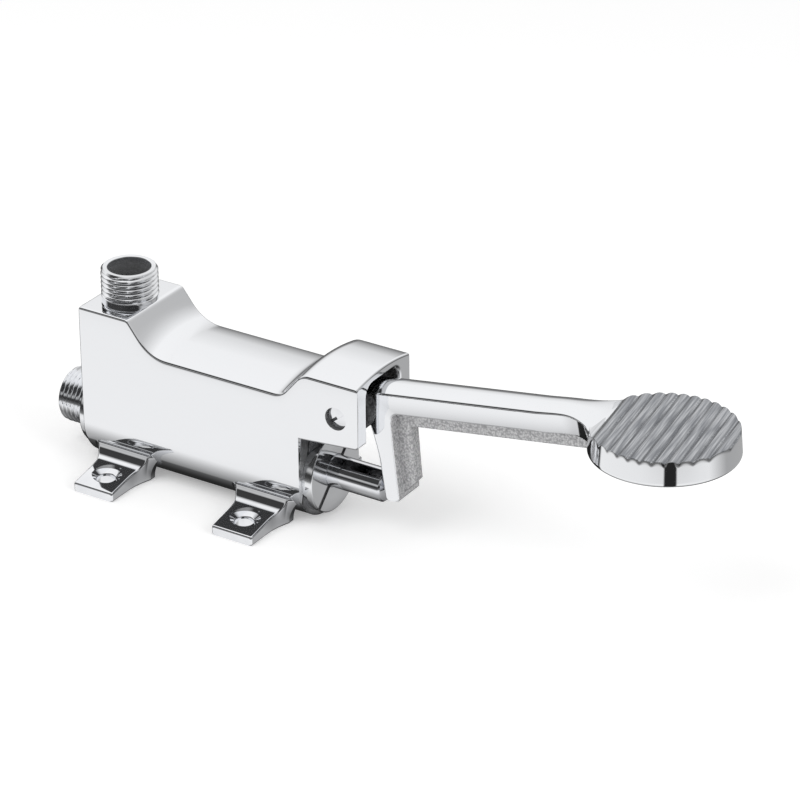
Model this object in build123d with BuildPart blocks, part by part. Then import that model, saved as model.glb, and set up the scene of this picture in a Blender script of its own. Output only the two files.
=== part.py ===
from build123d import *
from math import atan2, cos, degrees, radians, sin, sqrt, tan
import os

# A foot-pedal operated water valve in chrome-plated brass, in millimetres.
# +Z is up and +X runs along the valve's axis towards the pedal. The origin is the centre of the four
# lug holes on the mounting plane. The side with the slotted pivot screw is -Y.

# Body casting
body_half = 17.5  # half the body's width, and the radius of its U-shaped underside
rear_x = -47.6
front_x = 46.9  # front face of the valve bore
outlet_x = -36.9
tower_top_z = 64.0
tower_front_x = -26.2  # front edge of the tower's flat top
tower_slope = 37.8  # degrees from upright
tower_sweep_r = 16.0
tower_crest_r = 2.0  # front edge of the tower's top
deck_side_z = 51.8
arch_rise = 2.1  # how far the tops of deck and hood crown between their sides
hood_rear_x = 48.6  # rear edge of the hood's top
hood_slope = 40.0
hood_sweep_r = 8.0
hood_crest_r = 6.0  # rear edge of the hood's top
hood_front_x = 71.4
hood_side_z = 62.1
hood_bottom_rear_z = 36.6
hood_bottom_front_z = 38.9
polished_edge_r = 0.7

# Lugs
lug_spacing_x = 60.6
lug_spacing_y = 55.8
lug_width = 17.2
lug_reach = 36.0  # from the middle plane to the lug's outer edge
lug_edge = 3.5
lug_root_z = 9.0
lug_straight = 10.0  # length of the straight sides, from the outer edge
lug_root_flare = 3.6  # how much wider each side is inside the body
lug_sag = 0.12  # share of the rise that the swept top has reached beside the body
lug_corner_r = 0.8
lug_hole_r = 3.5
lug_dish_r = 5.8
lug_dish_angle = 134.0
lug_dish_z = 4.3

# Water ways
rear_bore_r = 12.0
gland_bore_r = 12.0
gland_depth = 18.0
seat_x = -15.9  # where the rubber washer meets the seat
web_thickness = 4.0
seat_lip = 1.0  # how far the seat ring stands out of the web
seat_bore_r = 6.5
seat_ring_r = 9.0
outlet_chamber_r = 10.0
riser_x = -4.5
passage_r = 6.0
passage_bend_r = 7.0
passage_z = 39.8

# Pipe threads, drawn plain at their major diameter
pipe_thread_r = 10.48
outlet_height = 12.0
outlet_bore_r = 7.9
nipple_shank_r = 8.33
nipple_shank = 9.0
inlet_reach = 13.5  # threaded length behind the collar
inlet_bore_r = 7.5
inlet_mouth = 1.2
collar_r = 15.5
collar_thickness = 3.5
connector_shank = 10.0

# Seals
ring_section_r = 0.6  # section of the three O-rings under a shoulder
rod_ring_section_r = 0.9
rod_ring_inset = 6.0  # first rod O-ring behind the body's front face
rod_ring_spacing = 5.0
fit_gap = 0.05  # between pieces that are screwed or laid together
running_gap = 0.05  # radial, where a shaft turns or slides in its hole

# Gland, rod and valve disc
gland_flange_r = 15.7
gland_flange = 4.0
gland_edge_r = 0.6
gland_slot_width = 2.0
gland_slot_depth = 1.4
gland_slot_angle = 45.0
rod_r = 6.0
rod_stem_r = 3.0
rod_tail_r = 2.5
rod_shoulder_inset = 3.0  # length of full-size rod inside the outlet chamber
rod_dome_r = 30.0
rod_edge = 0.6
washer_r = 8.6
washer_thickness = 3.0
washer_proud = 1.0
clamp_washer_r = 4.8
clamp_washer_thickness = 1.0
disc_base = 2.0
disc_rim = 0.8
nut_flats = 8.0
nut_height = 3.2
tail_past_nut = 1.5
spring_r = 8.3  # mean radius of the coil
spring_wire_r = 0.6
spring_turns = 5

# Pedal lever, laid out in a frame that tilts with it about the pivot:
# reach runs along the arm and level stands square to it
pivot_x = 62.7
pivot_z = 49.0
pivot_r = 3.0
screw_head_r = 4.2
screw_head = 2.9
screw_sink = 2.1
screw_slot_width = 1.1
screw_slot_depth = 1.2
screw_slot_angle = 38.0
screw_end = 4.0
slot_half = 10.6  # half the gap between the hood's cheeks
slot_top_z = 60.6
slot_corner_r = 2.5
slot_rear_gap = 2.0
slot_edge_r = 1.0  # polished edge round the slot's front opening
lever_washer = 0.8
lever_washer_r = 7.0
lever_side_gap = 0.2
bush_wall = 1.5
lever_tilt = 9.0  # degrees that the arm rises towards the pad
lever_half = 7.0
lever_crown = 2.4  # rise of the rounded outer skin
hub_r = 8.8
arm_thickness = 9.8
leg_rear = 8.6  # reach of the leg's rear side edges
leg_side_top = 6.9
leg_side_end = 5.6
leg_length = 34.8
leg_corner_r = 1.2
leg_sweep = 3.1  # how far the leg's rear sweeps back by the hub's middle
leg_sweep_length = 20.0
rib_half = 2.5
rib_depth = 6.1
rib_stand = 5.0  # how far the rib stands off the leg
rib_corner_r = 1.6
rib_chamfer = 5.0
pad_x = 182.3
pad_z = 71.5  # level of the ridges' crests at the pad's centre
pad_r = 25.3
pad_draft = 0.7  # how much wider the pad is at its foot
pad_thickness = 9.3
pad_tilt = 0.6
pad_edge_r = 0.8
ridge_pitch = 4.1
ridge_height = 0.9
ridge_turn = 9.0  # degrees that the ridges are turned from square to the arm
neck_r = 15.0  # sweep in plan between the arm's sides and the pad
neck_blend = 10.0  # length over which the arm's top falls to the pad before it widens
contact_gap = 0.25  # between the rod's dome and the lever's leg at rest
cut_past = 3.0  # how far a cutting shape runs past the face it opens

# Worked out from the sizes above
axis_z = body_half
valve_axis = Axis((0, 0, axis_z), (1, 0, 0))
deck_crown_z = deck_side_z + arch_rise
hood_crown_z = hood_side_z + arch_rise
web_rear_x = seat_x + seat_lip
web_front_x = web_rear_x + web_thickness
chamber_front_x = front_x - gland_depth
connector_end_x = rear_x + connector_shank
disc_back_x = seat_x - washer_thickness - disc_base
tail_end_x = disc_back_x - nut_height - tail_past_nut
slot_rear_x = pivot_x - hub_r - slot_rear_gap
hub_half = slot_half - fit_gap - lever_washer - lever_side_gap
tilt = radians(lever_tilt)
leg_back = leg_rear - lever_crown
leg_back_x = pivot_x + leg_back / cos(tilt) + (pivot_z - axis_z) * tan(tilt)
rod_tip_x = leg_back_x + rod_dome_r - (rod_dome_r + contact_gap) / cos(tilt)
arm_side = hub_r - lever_crown
arm_bottom = hub_r - arm_thickness
ring_groove = 2 * ring_section_r + fit_gap
rod_groove_r = rod_r + running_gap + 2 * rod_ring_section_r + fit_gap
rod_ring_xs = [front_x - rod_ring_inset - i * rod_ring_spacing for i in range(2)]
lever_plane = Plane(origin=(pivot_x, 0, pivot_z), x_dir=(cos(tilt), 0, sin(tilt)), z_dir=(0, -1, 0))
pad_slope = radians(pad_tilt)
pad_plane = Plane(
    origin=(pad_x + ridge_height * sin(pad_slope), 0, pad_z - ridge_height * cos(pad_slope)),
    x_dir=(cos(pad_slope), 0, sin(pad_slope)),
    z_dir=(-sin(pad_slope), 0, cos(pad_slope)),
)

os.makedirs("parts", exist_ok=True)


def finish(piece, name):
    """Name a finished piece and write its STEP file."""
    piece.part.label = name
    export_step(piece.part, f"parts/{name}.step")


def u_section(side_z, crown_z):
    """Section across the body: U-shaped underside, upright sides and a crowned top."""
    with BuildSketch() as sketch:
        with BuildLine():
            ThreePointArc((-body_half, axis_z), (0, axis_z - body_half), (body_half, axis_z))
            Line((body_half, axis_z), (body_half, side_z))
            ThreePointArc((body_half, side_z), (0, crown_z), (-body_half, side_z))
            Line((-body_half, side_z), (-body_half, axis_z))
        make_face()
    return sketch.sketch


def across(reach, level):
    """Plane square to the lever's arm at a reach along it, with Y to the right."""
    origin = lever_plane.from_local_coords(Vector(reach, level, 0))
    return Plane(origin=origin, x_dir=(0, 1, 0), z_dir=lever_plane.x_dir)


def crowned_face(plane, half, bottom, side, crown):
    """Section of the lever's outer skin on a plane: flat inside, rounded outside."""
    with BuildSketch(plane) as sketch:
        with BuildLine():
            Polyline((-half, side), (-half, bottom), (half, bottom), (half, side))
            ThreePointArc((half, side), (0, crown), (-half, side))
        make_face()
    return sketch.sketch


def o_ring(major_r, section_r, plane):
    """O-ring on a plane whose normal is the ring's axis."""
    with BuildPart() as ring:
        with BuildSketch(Plane(origin=plane.origin, x_dir=plane.x_dir, z_dir=plane.y_dir)):
            with Locations((major_r, 0)):
                Circle(section_r)
        revolve(axis=Axis(plane.origin, plane.z_dir))
    return ring


# Hood: side outline with its sloping rear, met with the crowned section
hood_foot_z = deck_side_z - tower_sweep_r / 2
hood_foot_x = hood_rear_x - (hood_crown_z - hood_foot_z) * tan(radians(hood_slope))
with BuildPart() as hood:
    with BuildSketch(Plane.XZ):
        with BuildLine():
            Polyline(
                (hood_rear_x, hood_crown_z),
                (hood_foot_x, hood_foot_z),
                (hood_foot_x, hood_bottom_rear_z),
                (front_x, hood_bottom_rear_z),
                (hood_front_x, hood_bottom_front_z),
                (hood_front_x, hood_crown_z),
                close=True,
            )
        make_face()
    extrude(amount=body_half, both=True)
    with BuildSketch(Plane.YZ.offset(hood_foot_x)):
        add(u_section(hood_side_z, hood_crown_z))
    extrude(amount=hood_front_x - hood_foot_x, mode=Mode.INTERSECT)
    # Slot between the hood's cheeks, where the lever works
    with BuildSketch(Plane.XZ):
        with BuildLine():
            slot_low_z = hood_bottom_rear_z - cut_past
            FilletPolyline(
                (hood_front_x + cut_past, slot_top_z),
                (slot_rear_x, slot_top_z),
                (slot_rear_x, slot_low_z),
                radius=slot_corner_r,
            )
            Polyline(
                (slot_rear_x, slot_low_z),
                (hood_front_x + cut_past, slot_low_z),
                (hood_front_x + cut_past, slot_top_z),
            )
        make_face()
    extrude(amount=slot_half, both=True, mode=Mode.SUBTRACT)
    slot_rim = [
        e
        for e in hood.edges()
        if abs(e.center().X - hood_front_x) < fit_gap
        and abs(e.center().Y) < slot_half + fit_gap
        and e.center().Z < slot_top_z + fit_gap
    ]
    fillet(slot_rim, slot_edge_r)

# Lug on the +Y side: hollow-swept upper side, plan that flares into the body, dished screw hole
lug_inner_y = body_half * 0.75
lug_flare_y = lug_reach - lug_straight
with BuildPart() as lug:
    with BuildSketch(Plane.YZ):
        with BuildLine():
            Line((0, 0), (lug_reach, 0))
            Line((lug_reach, 0), (lug_reach, lug_edge))
            ThreePointArc(
                (lug_reach, lug_edge),
                (body_half * 1.3, lug_edge + (lug_root_z - lug_edge) * lug_sag),
                (lug_inner_y, lug_root_z),
            )
            Polyline((lug_inner_y, lug_root_z), (0, lug_root_z), (0, 0))
        make_face()
    extrude(amount=lug_width, both=True)
    with BuildSketch():
        with BuildLine():
            Line((-lug_width / 2, lug_reach), (lug_width / 2, lug_reach))
            Line((lug_width / 2, lug_reach), (lug_width / 2, lug_flare_y))
            TangentArc(
                (lug_width / 2, lug_flare_y),
                (lug_width / 2 + lug_root_flare, lug_inner_y),
                tangent=(0, -1),
            )
            Polyline(
                (lug_width / 2 + lug_root_flare, lug_inner_y),
                (lug_width / 2 + lug_root_flare, 0),
                (-lug_width / 2 - lug_root_flare, 0),
                (-lug_width / 2 - lug_root_flare, lug_inner_y),
            )
            TangentArc(
                (-lug_width / 2, lug_flare_y),
                (-lug_width / 2 - lug_root_flare, lug_inner_y),
                tangent=(0, -1),
            )
            Line((-lug_width / 2, lug_flare_y), (-lug_width / 2, lug_reach))
        make_face()
    extrude(amount=lug_root_z, mode=Mode.INTERSECT)
    fillet(lug.edges().filter_by(Axis.Z).sort_by(Axis.Y)[-2:], lug_corner_r)
    with Locations((0, lug_spacing_y / 2, lug_dish_z)):
        CounterSinkHole(lug_hole_r, lug_dish_r, depth=lug_dish_z * 2, counter_sink_angle=lug_dish_angle)
    mirror(about=Plane.XZ)

with BuildPart() as valve_body:
    # Deck along the valve's axis
    with BuildSketch(Plane.YZ.offset(rear_x)):
        add(u_section(deck_side_z, deck_crown_z))
    extrude(amount=front_x - rear_x)
    # Tower under the outlet, with a sloping front
    tower_foot_z = deck_side_z - tower_sweep_r / 2
    tower_foot_x = tower_front_x + (tower_top_z - tower_foot_z) * tan(radians(tower_slope))
    with BuildSketch(Plane.XZ):
        with BuildLine():
            Polyline(
                (rear_x, axis_z),
                (rear_x, tower_top_z),
                (tower_front_x, tower_top_z),
                (tower_foot_x, tower_foot_z),
                (tower_front_x, axis_z),
                close=True,
            )
        make_face()
    extrude(amount=body_half, both=True)
    add(hood.part)
    # Hollow sweeps where the tower and the hood rise from the crowned deck
    for low_x, high_x, sweep_r in (
        (tower_front_x, riser_x + tower_sweep_r, tower_sweep_r),
        (hood_foot_x, hood_rear_x, hood_sweep_r),
    ):
        root = [
            e
            for e in valve_body.edges()
            if low_x < e.center().X < high_x
            and deck_side_z < e.center().Z < deck_crown_z + arch_rise
            and e.length > 2 * body_half
            and abs(e.tangent_at(0.5).Y) > 0.9
        ]
        fillet(root[0], sweep_r)
    # Rounded crests of the tower and the hood
    for crest_x, crest_z, crest_r in (
        (tower_front_x, tower_top_z, tower_crest_r),
        (hood_rear_x, hood_side_z, hood_crest_r),
    ):
        crest = [
            e
            for e in valve_body.edges()
            if abs(e.center().X - crest_x) < arch_rise
            and e.center().Z > crest_z - fit_gap
            and e.length > body_half * 0.9
            and abs(e.tangent_at(0.5).Y) > 0.9
        ]
        fillet(crest, crest_r)
    # Polished outer edges along both sides and round the tower's top, the rear and the hood's front
    rims = [
        e
        for e in valve_body.edges()
        if (
            abs(abs(e.center().Y) - body_half) < arch_rise / 4
            and e.center().Z > deck_side_z - polished_edge_r
            and abs(e.tangent_at(0.5).Y) < 0.5
        )
        or (
            e.center().Z > hood_side_z
            and e.length > body_half * 1.9
            and min(abs(e.center().X - x) for x in (rear_x, hood_front_x)) < 0.1
        )
    ]
    fillet(rims, polished_edge_r)
    # Lugs
    with Locations((-lug_spacing_x / 2, 0, 0), (lug_spacing_x / 2, 0, 0)):
        add(lug.part)
    # Bores along the valve's axis, each with the recess of the O-ring under the shoulder that closes it
    for start_x, length, radius in (
        (rear_x, web_rear_x - rear_x, rear_bore_r),
        (rear_x, ring_groove, rear_bore_r + ring_groove),
        (web_rear_x, web_thickness, seat_ring_r + fit_gap),
        (web_front_x, chamber_front_x - web_front_x, outlet_chamber_r),
        (chamber_front_x, gland_depth, gland_bore_r),
        (front_x - ring_groove, ring_groove, gland_bore_r + ring_groove),
    ):
        with BuildSketch(Plane.YZ.offset(start_x)):
            with Locations((0, axis_z)):
                Circle(radius)
        extrude(amount=length, mode=Mode.SUBTRACT)
    # Cored passage from the outlet chamber, over the inlet chamber and up to the outlet
    with BuildLine(Plane.XZ) as passage:
        FilletPolyline(
            (riser_x, axis_z),
            (riser_x, passage_z),
            (outlet_x, passage_z),
            (outlet_x, tower_top_z),
            radius=passage_bend_r,
        )
    with BuildSketch(Plane.XY.offset(axis_z)):
        with Locations((riser_x, 0)):
            Circle(passage_r)
    sweep(path=passage.line, mode=Mode.SUBTRACT)
    # Socket of the outlet nipple
    for depth, radius in (
        (nipple_shank + fit_gap, nipple_shank_r + fit_gap),
        (ring_groove, nipple_shank_r + fit_gap + ring_groove),
    ):
        with BuildSketch(Plane.XY.offset(tower_top_z)):
            with Locations((outlet_x, 0)):
                Circle(radius)
        extrude(amount=-depth, mode=Mode.SUBTRACT)
    # Pivot holes in the cheeks: a wide one for the screw's head, a blind one for its end
    head_foot_y = body_half - screw_sink - screw_head
    for near_y, far_y, radius in (
        (-body_half, -head_foot_y, screw_head_r + fit_gap),
        (-head_foot_y, slot_half + screw_end + fit_gap, pivot_r + fit_gap),
    ):
        with BuildSketch(Plane.XZ.offset(-near_y)):
            with Locations((pivot_x, pivot_z)):
                Circle(radius)
        extrude(amount=near_y - far_y, mode=Mode.SUBTRACT)
finish(valve_body, "valve_body")

# Outlet nipple: pipe thread above, smaller shank in the tower
with BuildPart() as outlet_nipple:
    with BuildSketch(Plane.XZ):
        with BuildLine():
            Polyline(
                (outlet_x + passage_r, tower_top_z - nipple_shank),
                (outlet_x + nipple_shank_r, tower_top_z - nipple_shank),
                (outlet_x + nipple_shank_r, tower_top_z),
                (outlet_x + pipe_thread_r, tower_top_z),
                (outlet_x + pipe_thread_r, tower_top_z + outlet_height),
                (outlet_x + outlet_bore_r, tower_top_z + outlet_height),
                (outlet_x + outlet_bore_r, tower_top_z),
                (outlet_x + passage_r, tower_top_z - (outlet_bore_r - passage_r)),
                close=True,
            )
        make_face()
    revolve(axis=Axis((outlet_x, 0, 0), (0, 0, 1)))
finish(outlet_nipple, "outlet_nipple")

outlet_o_ring = o_ring(
    nipple_shank_r + fit_gap + ring_section_r,
    ring_section_r,
    Plane((outlet_x, 0, tower_top_z - ring_groove / 2)),
)
finish(outlet_o_ring, "outlet_o_ring")

# Inlet connector: pipe thread behind, round collar on the rear face, shank in the body
with BuildPart() as inlet_connector:
    with BuildSketch(Plane.XZ):
        with BuildLine():
            collar_x = rear_x - collar_thickness
            inlet_end_x = collar_x - inlet_reach
            Polyline(
                (inlet_end_x, axis_z + inlet_bore_r + inlet_mouth),
                (inlet_end_x, axis_z + pipe_thread_r),
                (collar_x, axis_z + pipe_thread_r),
                (collar_x, axis_z + collar_r),
                (rear_x, axis_z + collar_r),
                (rear_x, axis_z + rear_bore_r - fit_gap),
                (connector_end_x, axis_z + rear_bore_r - fit_gap),
                (connector_end_x, axis_z + inlet_bore_r),
                (inlet_end_x + inlet_mouth, axis_z + inlet_bore_r),
                close=True,
            )
        make_face()
    revolve(axis=valve_axis)
finish(inlet_connector, "inlet_connector")

across_axis = Plane((0, 0, axis_z), x_dir=(0, 1, 0), z_dir=(1, 0, 0))
for name, x, inner_r, section_r in (
    ("inlet_o_ring", rear_x + ring_groove / 2, rear_bore_r, ring_section_r),
    ("gland_o_ring", front_x - ring_groove / 2, gland_bore_r, ring_section_r),
    ("rod_o_ring_1", rod_ring_xs[0], rod_r + running_gap, rod_ring_section_r),
    ("rod_o_ring_2", rod_ring_xs[1], rod_r + running_gap, rod_ring_section_r),
):
    finish(o_ring(inner_r + section_r, section_r, across_axis.offset(x)), name)

# Seat ring, screwed into the web between the chambers
with BuildPart() as seat_ring:
    with BuildSketch(Plane.XZ):
        with BuildLine():
            Polyline(
                (seat_x, axis_z + seat_bore_r),
                (seat_x, axis_z + seat_bore_r + seat_lip),
                (web_rear_x, axis_z + seat_ring_r),
                (web_front_x, axis_z + seat_ring_r),
                (web_front_x, axis_z + seat_bore_r),
                close=True,
            )
        make_face()
    revolve(axis=valve_axis)
finish(seat_ring, "seat_ring")

# Rubber washer that closes the seat, in its brass cup, held by a thin washer and a nut
tail_hole_r = rod_tail_r + fit_gap
with BuildPart() as seat_washer:
    with BuildSketch(Plane.YZ.offset(seat_x - washer_thickness)):
        with Locations((0, axis_z)):
            Circle(washer_r)
            Circle(tail_hole_r, mode=Mode.SUBTRACT)
    extrude(amount=washer_thickness)
finish(seat_washer, "seat_washer")

with BuildPart() as clamp_washer:
    with BuildSketch(Plane.YZ.offset(seat_x)):
        with Locations((0, axis_z)):
            Circle(clamp_washer_r)
            Circle(tail_hole_r, mode=Mode.SUBTRACT)
    extrude(amount=clamp_washer_thickness)
finish(clamp_washer, "clamp_washer")

with BuildPart() as valve_disc:
    cup_front_x = seat_x - washer_proud
    with BuildSketch(Plane.XZ):
        with BuildLine():
            Polyline(
                (disc_back_x, axis_z + tail_hole_r),
                (disc_back_x, axis_z + washer_r + fit_gap + disc_rim),
                (cup_front_x, axis_z + washer_r + fit_gap + disc_rim),
                (cup_front_x, axis_z + washer_r + fit_gap),
                (disc_back_x + disc_base, axis_z + washer_r + fit_gap),
                (disc_back_x + disc_base, axis_z + tail_hole_r),
                close=True,
            )
        make_face()
    revolve(axis=valve_axis)
finish(valve_disc, "valve_disc")

with BuildPart() as disc_nut:
    with BuildSketch(Plane.YZ.offset(disc_back_x - nut_height)):
        with Locations((0, axis_z)):
            RegularPolygon(nut_flats / 2, 6, major_radius=False)
            Circle(tail_hole_r, mode=Mode.SUBTRACT)
    extrude(amount=nut_height)
finish(disc_nut, "disc_nut")

# Return spring between the inlet connector and the valve disc
spring_rear_x = connector_end_x + spring_wire_r + fit_gap
spring_length = disc_back_x - spring_wire_r - fit_gap - spring_rear_x
with BuildPart() as return_spring:
    with BuildLine() as coil:
        Helix(
            pitch=spring_length / spring_turns,
            height=spring_length,
            radius=spring_r,
            center=(spring_rear_x, 0, axis_z),
            direction=(1, 0, 0),
        )
    with BuildSketch(Plane(origin=coil.line @ 0, z_dir=coil.line % 0)):
        Circle(spring_wire_r)
    sweep(path=coil.line, is_frenet=True)
finish(return_spring, "return_spring")

# Push rod: full size in the gland, stem through the seat, tail in the disc, domed tip
with BuildPart() as push_rod:
    dome_rise = rod_dome_r - sqrt(rod_dome_r**2 - (rod_r - rod_edge) ** 2)
    dome_x = rod_tip_x - dome_rise
    shoulder_x = chamber_front_x - rod_shoulder_inset
    stem_x = seat_x + clamp_washer_thickness
    mid_r = (rod_r - rod_edge) / 2
    mid_rise = rod_dome_r - sqrt(rod_dome_r**2 - mid_r**2)
    with BuildSketch(Plane.XZ):
        with BuildLine():
            Polyline(
                (rod_tip_x, axis_z),
                (tail_end_x, axis_z),
                (tail_end_x, axis_z + rod_tail_r),
                (stem_x, axis_z + rod_tail_r),
                (stem_x, axis_z + rod_stem_r),
                (shoulder_x, axis_z + rod_stem_r),
                (shoulder_x + rod_r - rod_stem_r, axis_z + rod_r),
                (dome_x - rod_edge, axis_z + rod_r),
                (dome_x, axis_z + rod_r - rod_edge),
            )
            ThreePointArc(
                (dome_x, axis_z + rod_r - rod_edge),
                (rod_tip_x - mid_rise, axis_z + mid_r),
                (rod_tip_x, axis_z),
            )
        make_face()
    revolve(axis=valve_axis)
finish(push_rod, "push_rod")

# Gland plug: shank in the body, rod bore with two O-ring grooves, flange with a driver slot
with BuildPart() as gland_plug:
    flange_x = front_x + gland_flange
    groove_half = rod_ring_section_r + fit_gap
    with BuildSketch(Plane.YZ.offset(chamber_front_x)):
        with Locations((0, axis_z)):
            Circle(gland_bore_r - fit_gap)
    extrude(amount=gland_depth)
    with BuildSketch(Plane.YZ.offset(front_x)):
        with Locations((0, axis_z)):
            Circle(gland_flange_r)
    extrude(amount=gland_flange)
    fillet(gland_plug.edges().filter_by(GeomType.CIRCLE).sort_by(Axis.X)[-1], gland_edge_r)
    with BuildSketch(Plane.YZ.offset(chamber_front_x)):
        with Locations((0, axis_z)):
            Circle(rod_r + running_gap)
    extrude(amount=gland_depth + gland_flange, mode=Mode.SUBTRACT)
    for x in rod_ring_xs:
        with BuildSketch(Plane.YZ.offset(x - groove_half)):
            with Locations((0, axis_z)):
                Circle(rod_groove_r)
        extrude(amount=2 * groove_half, mode=Mode.SUBTRACT)
    with BuildSketch(Plane.YZ.offset(flange_x)):
        with Locations((0, axis_z)):
            Rectangle(3 * gland_flange_r, gland_slot_width, rotation=gland_slot_angle)
    extrude(amount=-gland_slot_depth, mode=Mode.SUBTRACT)
finish(gland_plug, "gland_plug")

# Pivot screw: slotted head sunk in the near cheek, plain pin across the slot
with BuildPart() as pivot_screw:
    head_y = body_half - screw_sink
    with BuildSketch(Plane.XZ.offset(head_y)):
        with Locations((pivot_x, pivot_z)):
            Circle(screw_head_r)
    extrude(amount=-screw_head)
    with BuildSketch(Plane.XZ.offset(head_foot_y)):
        with Locations((pivot_x, pivot_z)):
            Circle(pivot_r)
    extrude(amount=-(head_foot_y + slot_half + screw_end))
    with BuildSketch(Plane.XZ.offset(head_y)):
        with Locations((pivot_x, pivot_z)):
            Rectangle(3 * screw_head_r, screw_slot_width, rotation=screw_slot_angle)
    extrude(amount=-screw_slot_depth, mode=Mode.SUBTRACT)
finish(pivot_screw, "pivot_screw")

# Thin washers between the hub and the cheeks
for name, side in (("lever_washer_near", 1), ("lever_washer_far", -1)):
    with BuildPart() as washer:
        with BuildSketch(Plane.XZ.offset(side * (slot_half - fit_gap))):
            with Locations((pivot_x, pivot_z)):
                Circle(lever_washer_r)
                Circle(pivot_r + fit_gap, mode=Mode.SUBTRACT)
        extrude(amount=-side * lever_washer)
    finish(washer, name)

bush_r = pivot_r + running_gap + bush_wall
with BuildPart() as pivot_bush:
    with BuildSketch(Plane.XZ):
        with Locations((pivot_x, pivot_z)):
            Circle(bush_r)
            Circle(pivot_r + running_gap, mode=Mode.SUBTRACT)
    extrude(amount=hub_half, both=True)
finish(pivot_bush, "pivot_bush")


def pad_level(reach, depth):
    """Level, in the lever's frame, of a plane that lies a depth under the pad's crests."""
    centre = lever_plane.to_local_coords(Vector(pad_x, 0, pad_z - depth))
    return centre.Y + (reach - centre.X) * tan(pad_slope - tilt)


def leg_face(depth):
    """Section of the leg at a depth under the pivot: flat in front, rounded behind."""
    origin = lever_plane.from_local_coords(Vector(0, -depth, 0))
    plane = Plane(origin=origin, x_dir=(0, 1, 0), z_dir=-lever_plane.y_dir)
    sweep_share = max(0, 1 - depth / leg_sweep_length)
    rear = leg_rear - leg_sweep * sweep_share * sqrt(sweep_share)
    front = leg_rear + leg_side_top + (leg_side_end - leg_side_top) * depth / leg_length
    return crowned_face(plane, lever_half, front, rear, rear - lever_crown)


# Pedal lever: hub, leg, arm and ridged pad in one casting
pad_reach = lever_plane.to_local_coords(Vector(pad_x, 0, pad_z)).X
neck_run = sqrt((pad_r + neck_r) ** 2 - (lever_half + neck_r) ** 2)
neck_reach = pad_reach - neck_run
neck_length = neck_run * neck_r / (pad_r + neck_r)
rib_low = arm_bottom - rib_depth
rib_end = pad_reach + pad_r / 2
leg_foot = leg_corner_r - leg_length
ridge_count = int(2 * pad_r / ridge_pitch)
ridges_half = ridge_count * ridge_pitch / 2

# Pad: round plate with a top of rounded ridges
with BuildPart() as pad:
    with BuildSketch(pad_plane.offset(ridge_height - pad_thickness)):
        Circle(pad_r + pad_draft)
    extrude(amount=pad_thickness, taper=degrees(atan2(pad_draft, pad_thickness)))
    fillet(pad.edges().sort_by(Axis.Z)[0], pad_edge_r)
    turned = pad_plane.rotated((0, 0, ridge_turn))
    with BuildSketch(Plane(origin=turned.origin, x_dir=turned.x_dir, z_dir=-turned.y_dir)):
        with BuildLine():
            for i in range(ridge_count):
                ridge_x = i * ridge_pitch - ridges_half
                ThreePointArc(
                    (ridge_x, 0),
                    (ridge_x + ridge_pitch / 2, ridge_height),
                    (ridge_x + ridge_pitch, 0),
                )
            Polyline(
                (ridges_half, 0),
                (pad_r + ridge_pitch, 0),
                (pad_r + ridge_pitch, -pad_thickness),
                (-pad_r - ridge_pitch, -pad_thickness),
                (-pad_r - ridge_pitch, 0),
                (-ridges_half, 0),
            )
        make_face()
    extrude(amount=pad_r + ridge_pitch, both=True, mode=Mode.INTERSECT)

with BuildPart() as pedal_lever:
    # Leg
    loft([leg_face(leg_sweep_length * i / 4) for i in range(5)])
    loft([leg_face(leg_sweep_length), leg_face(leg_length)])
    fillet(pedal_lever.edges().group_by(Axis.Z)[0], leg_corner_r)
    # Hub
    with BuildSketch(Plane.XZ):
        with Locations((pivot_x, pivot_z)):
            Circle(hub_r)
    extrude(amount=hub_half, both=True)
    # Arm
    extrude(
        crowned_face(across(0, 0), lever_half, arm_bottom, arm_side, hub_r),
        amount=neck_reach - neck_blend,
    )
    # Neck that widens and flattens into the pad
    necks = []
    for run in (-neck_blend, 0, neck_length * 0.4, neck_length * 0.75, neck_length):
        reach = neck_reach + run
        blend = (run + neck_blend) / (neck_length + neck_blend)
        blend = blend**2 * (3 - 2 * blend)
        half = lever_half + neck_r - sqrt(neck_r**2 - max(run, 0) ** 2)
        necks.append(
            crowned_face(
                across(reach, 0),
                half - fit_gap * blend,
                arm_bottom + blend * (pad_level(reach, pad_thickness - pad_edge_r) - arm_bottom),
                arm_side + blend * (pad_level(reach, 2 * ridge_height) - arm_side),
                hub_r + blend * (pad_level(reach, ridge_height + fit_gap) - hub_r),
            )
        )
    loft(necks)
    add(pad.part)
    # Stiffening rib inside the bend and under the arm
    with BuildSketch(lever_plane):
        with BuildLine():
            leg_front_end = leg_rear + leg_side_end
            rib_front_end = leg_front_end + rib_stand
            FilletPolyline(
                (rib_front_end, leg_foot + rib_chamfer),
                (leg_rear + leg_side_top + rib_stand, rib_low),
                (rib_end, rib_low),
                radius=rib_corner_r,
            )
            Polyline(
                (rib_end, rib_low),
                (rib_end, pad_level(rib_end, pad_thickness / 2)),
                (neck_reach, arm_bottom + rib_corner_r),
                (leg_rear + leg_side_top / 2, arm_bottom + rib_corner_r),
                (leg_front_end - rib_corner_r, leg_foot),
                (leg_front_end - rib_corner_r / 2, leg_foot),
                (rib_front_end, leg_foot + rib_chamfer),
            )
        make_face()
    extrude(amount=rib_half, both=True)
    # Bore for the bush
    with BuildSketch(Plane.XZ):
        with Locations((pivot_x, pivot_z)):
            Circle(bush_r + fit_gap)
    extrude(amount=hub_half, both=True, mode=Mode.SUBTRACT)
finish(pedal_lever, "pedal_lever")
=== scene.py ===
"""Dressed model of a foot-pedal valve: polished chrome casting, threaded pipe ends and a ridged pedal."""

import logging
from dataclasses import dataclass, field
from enum import Enum
from math import cos, pi, radians, sin, sqrt, tan
from typing import Any, Callable, Sequence

import bmesh
import bpy
import numpy as np
from mathutils import Matrix, Vector


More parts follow.
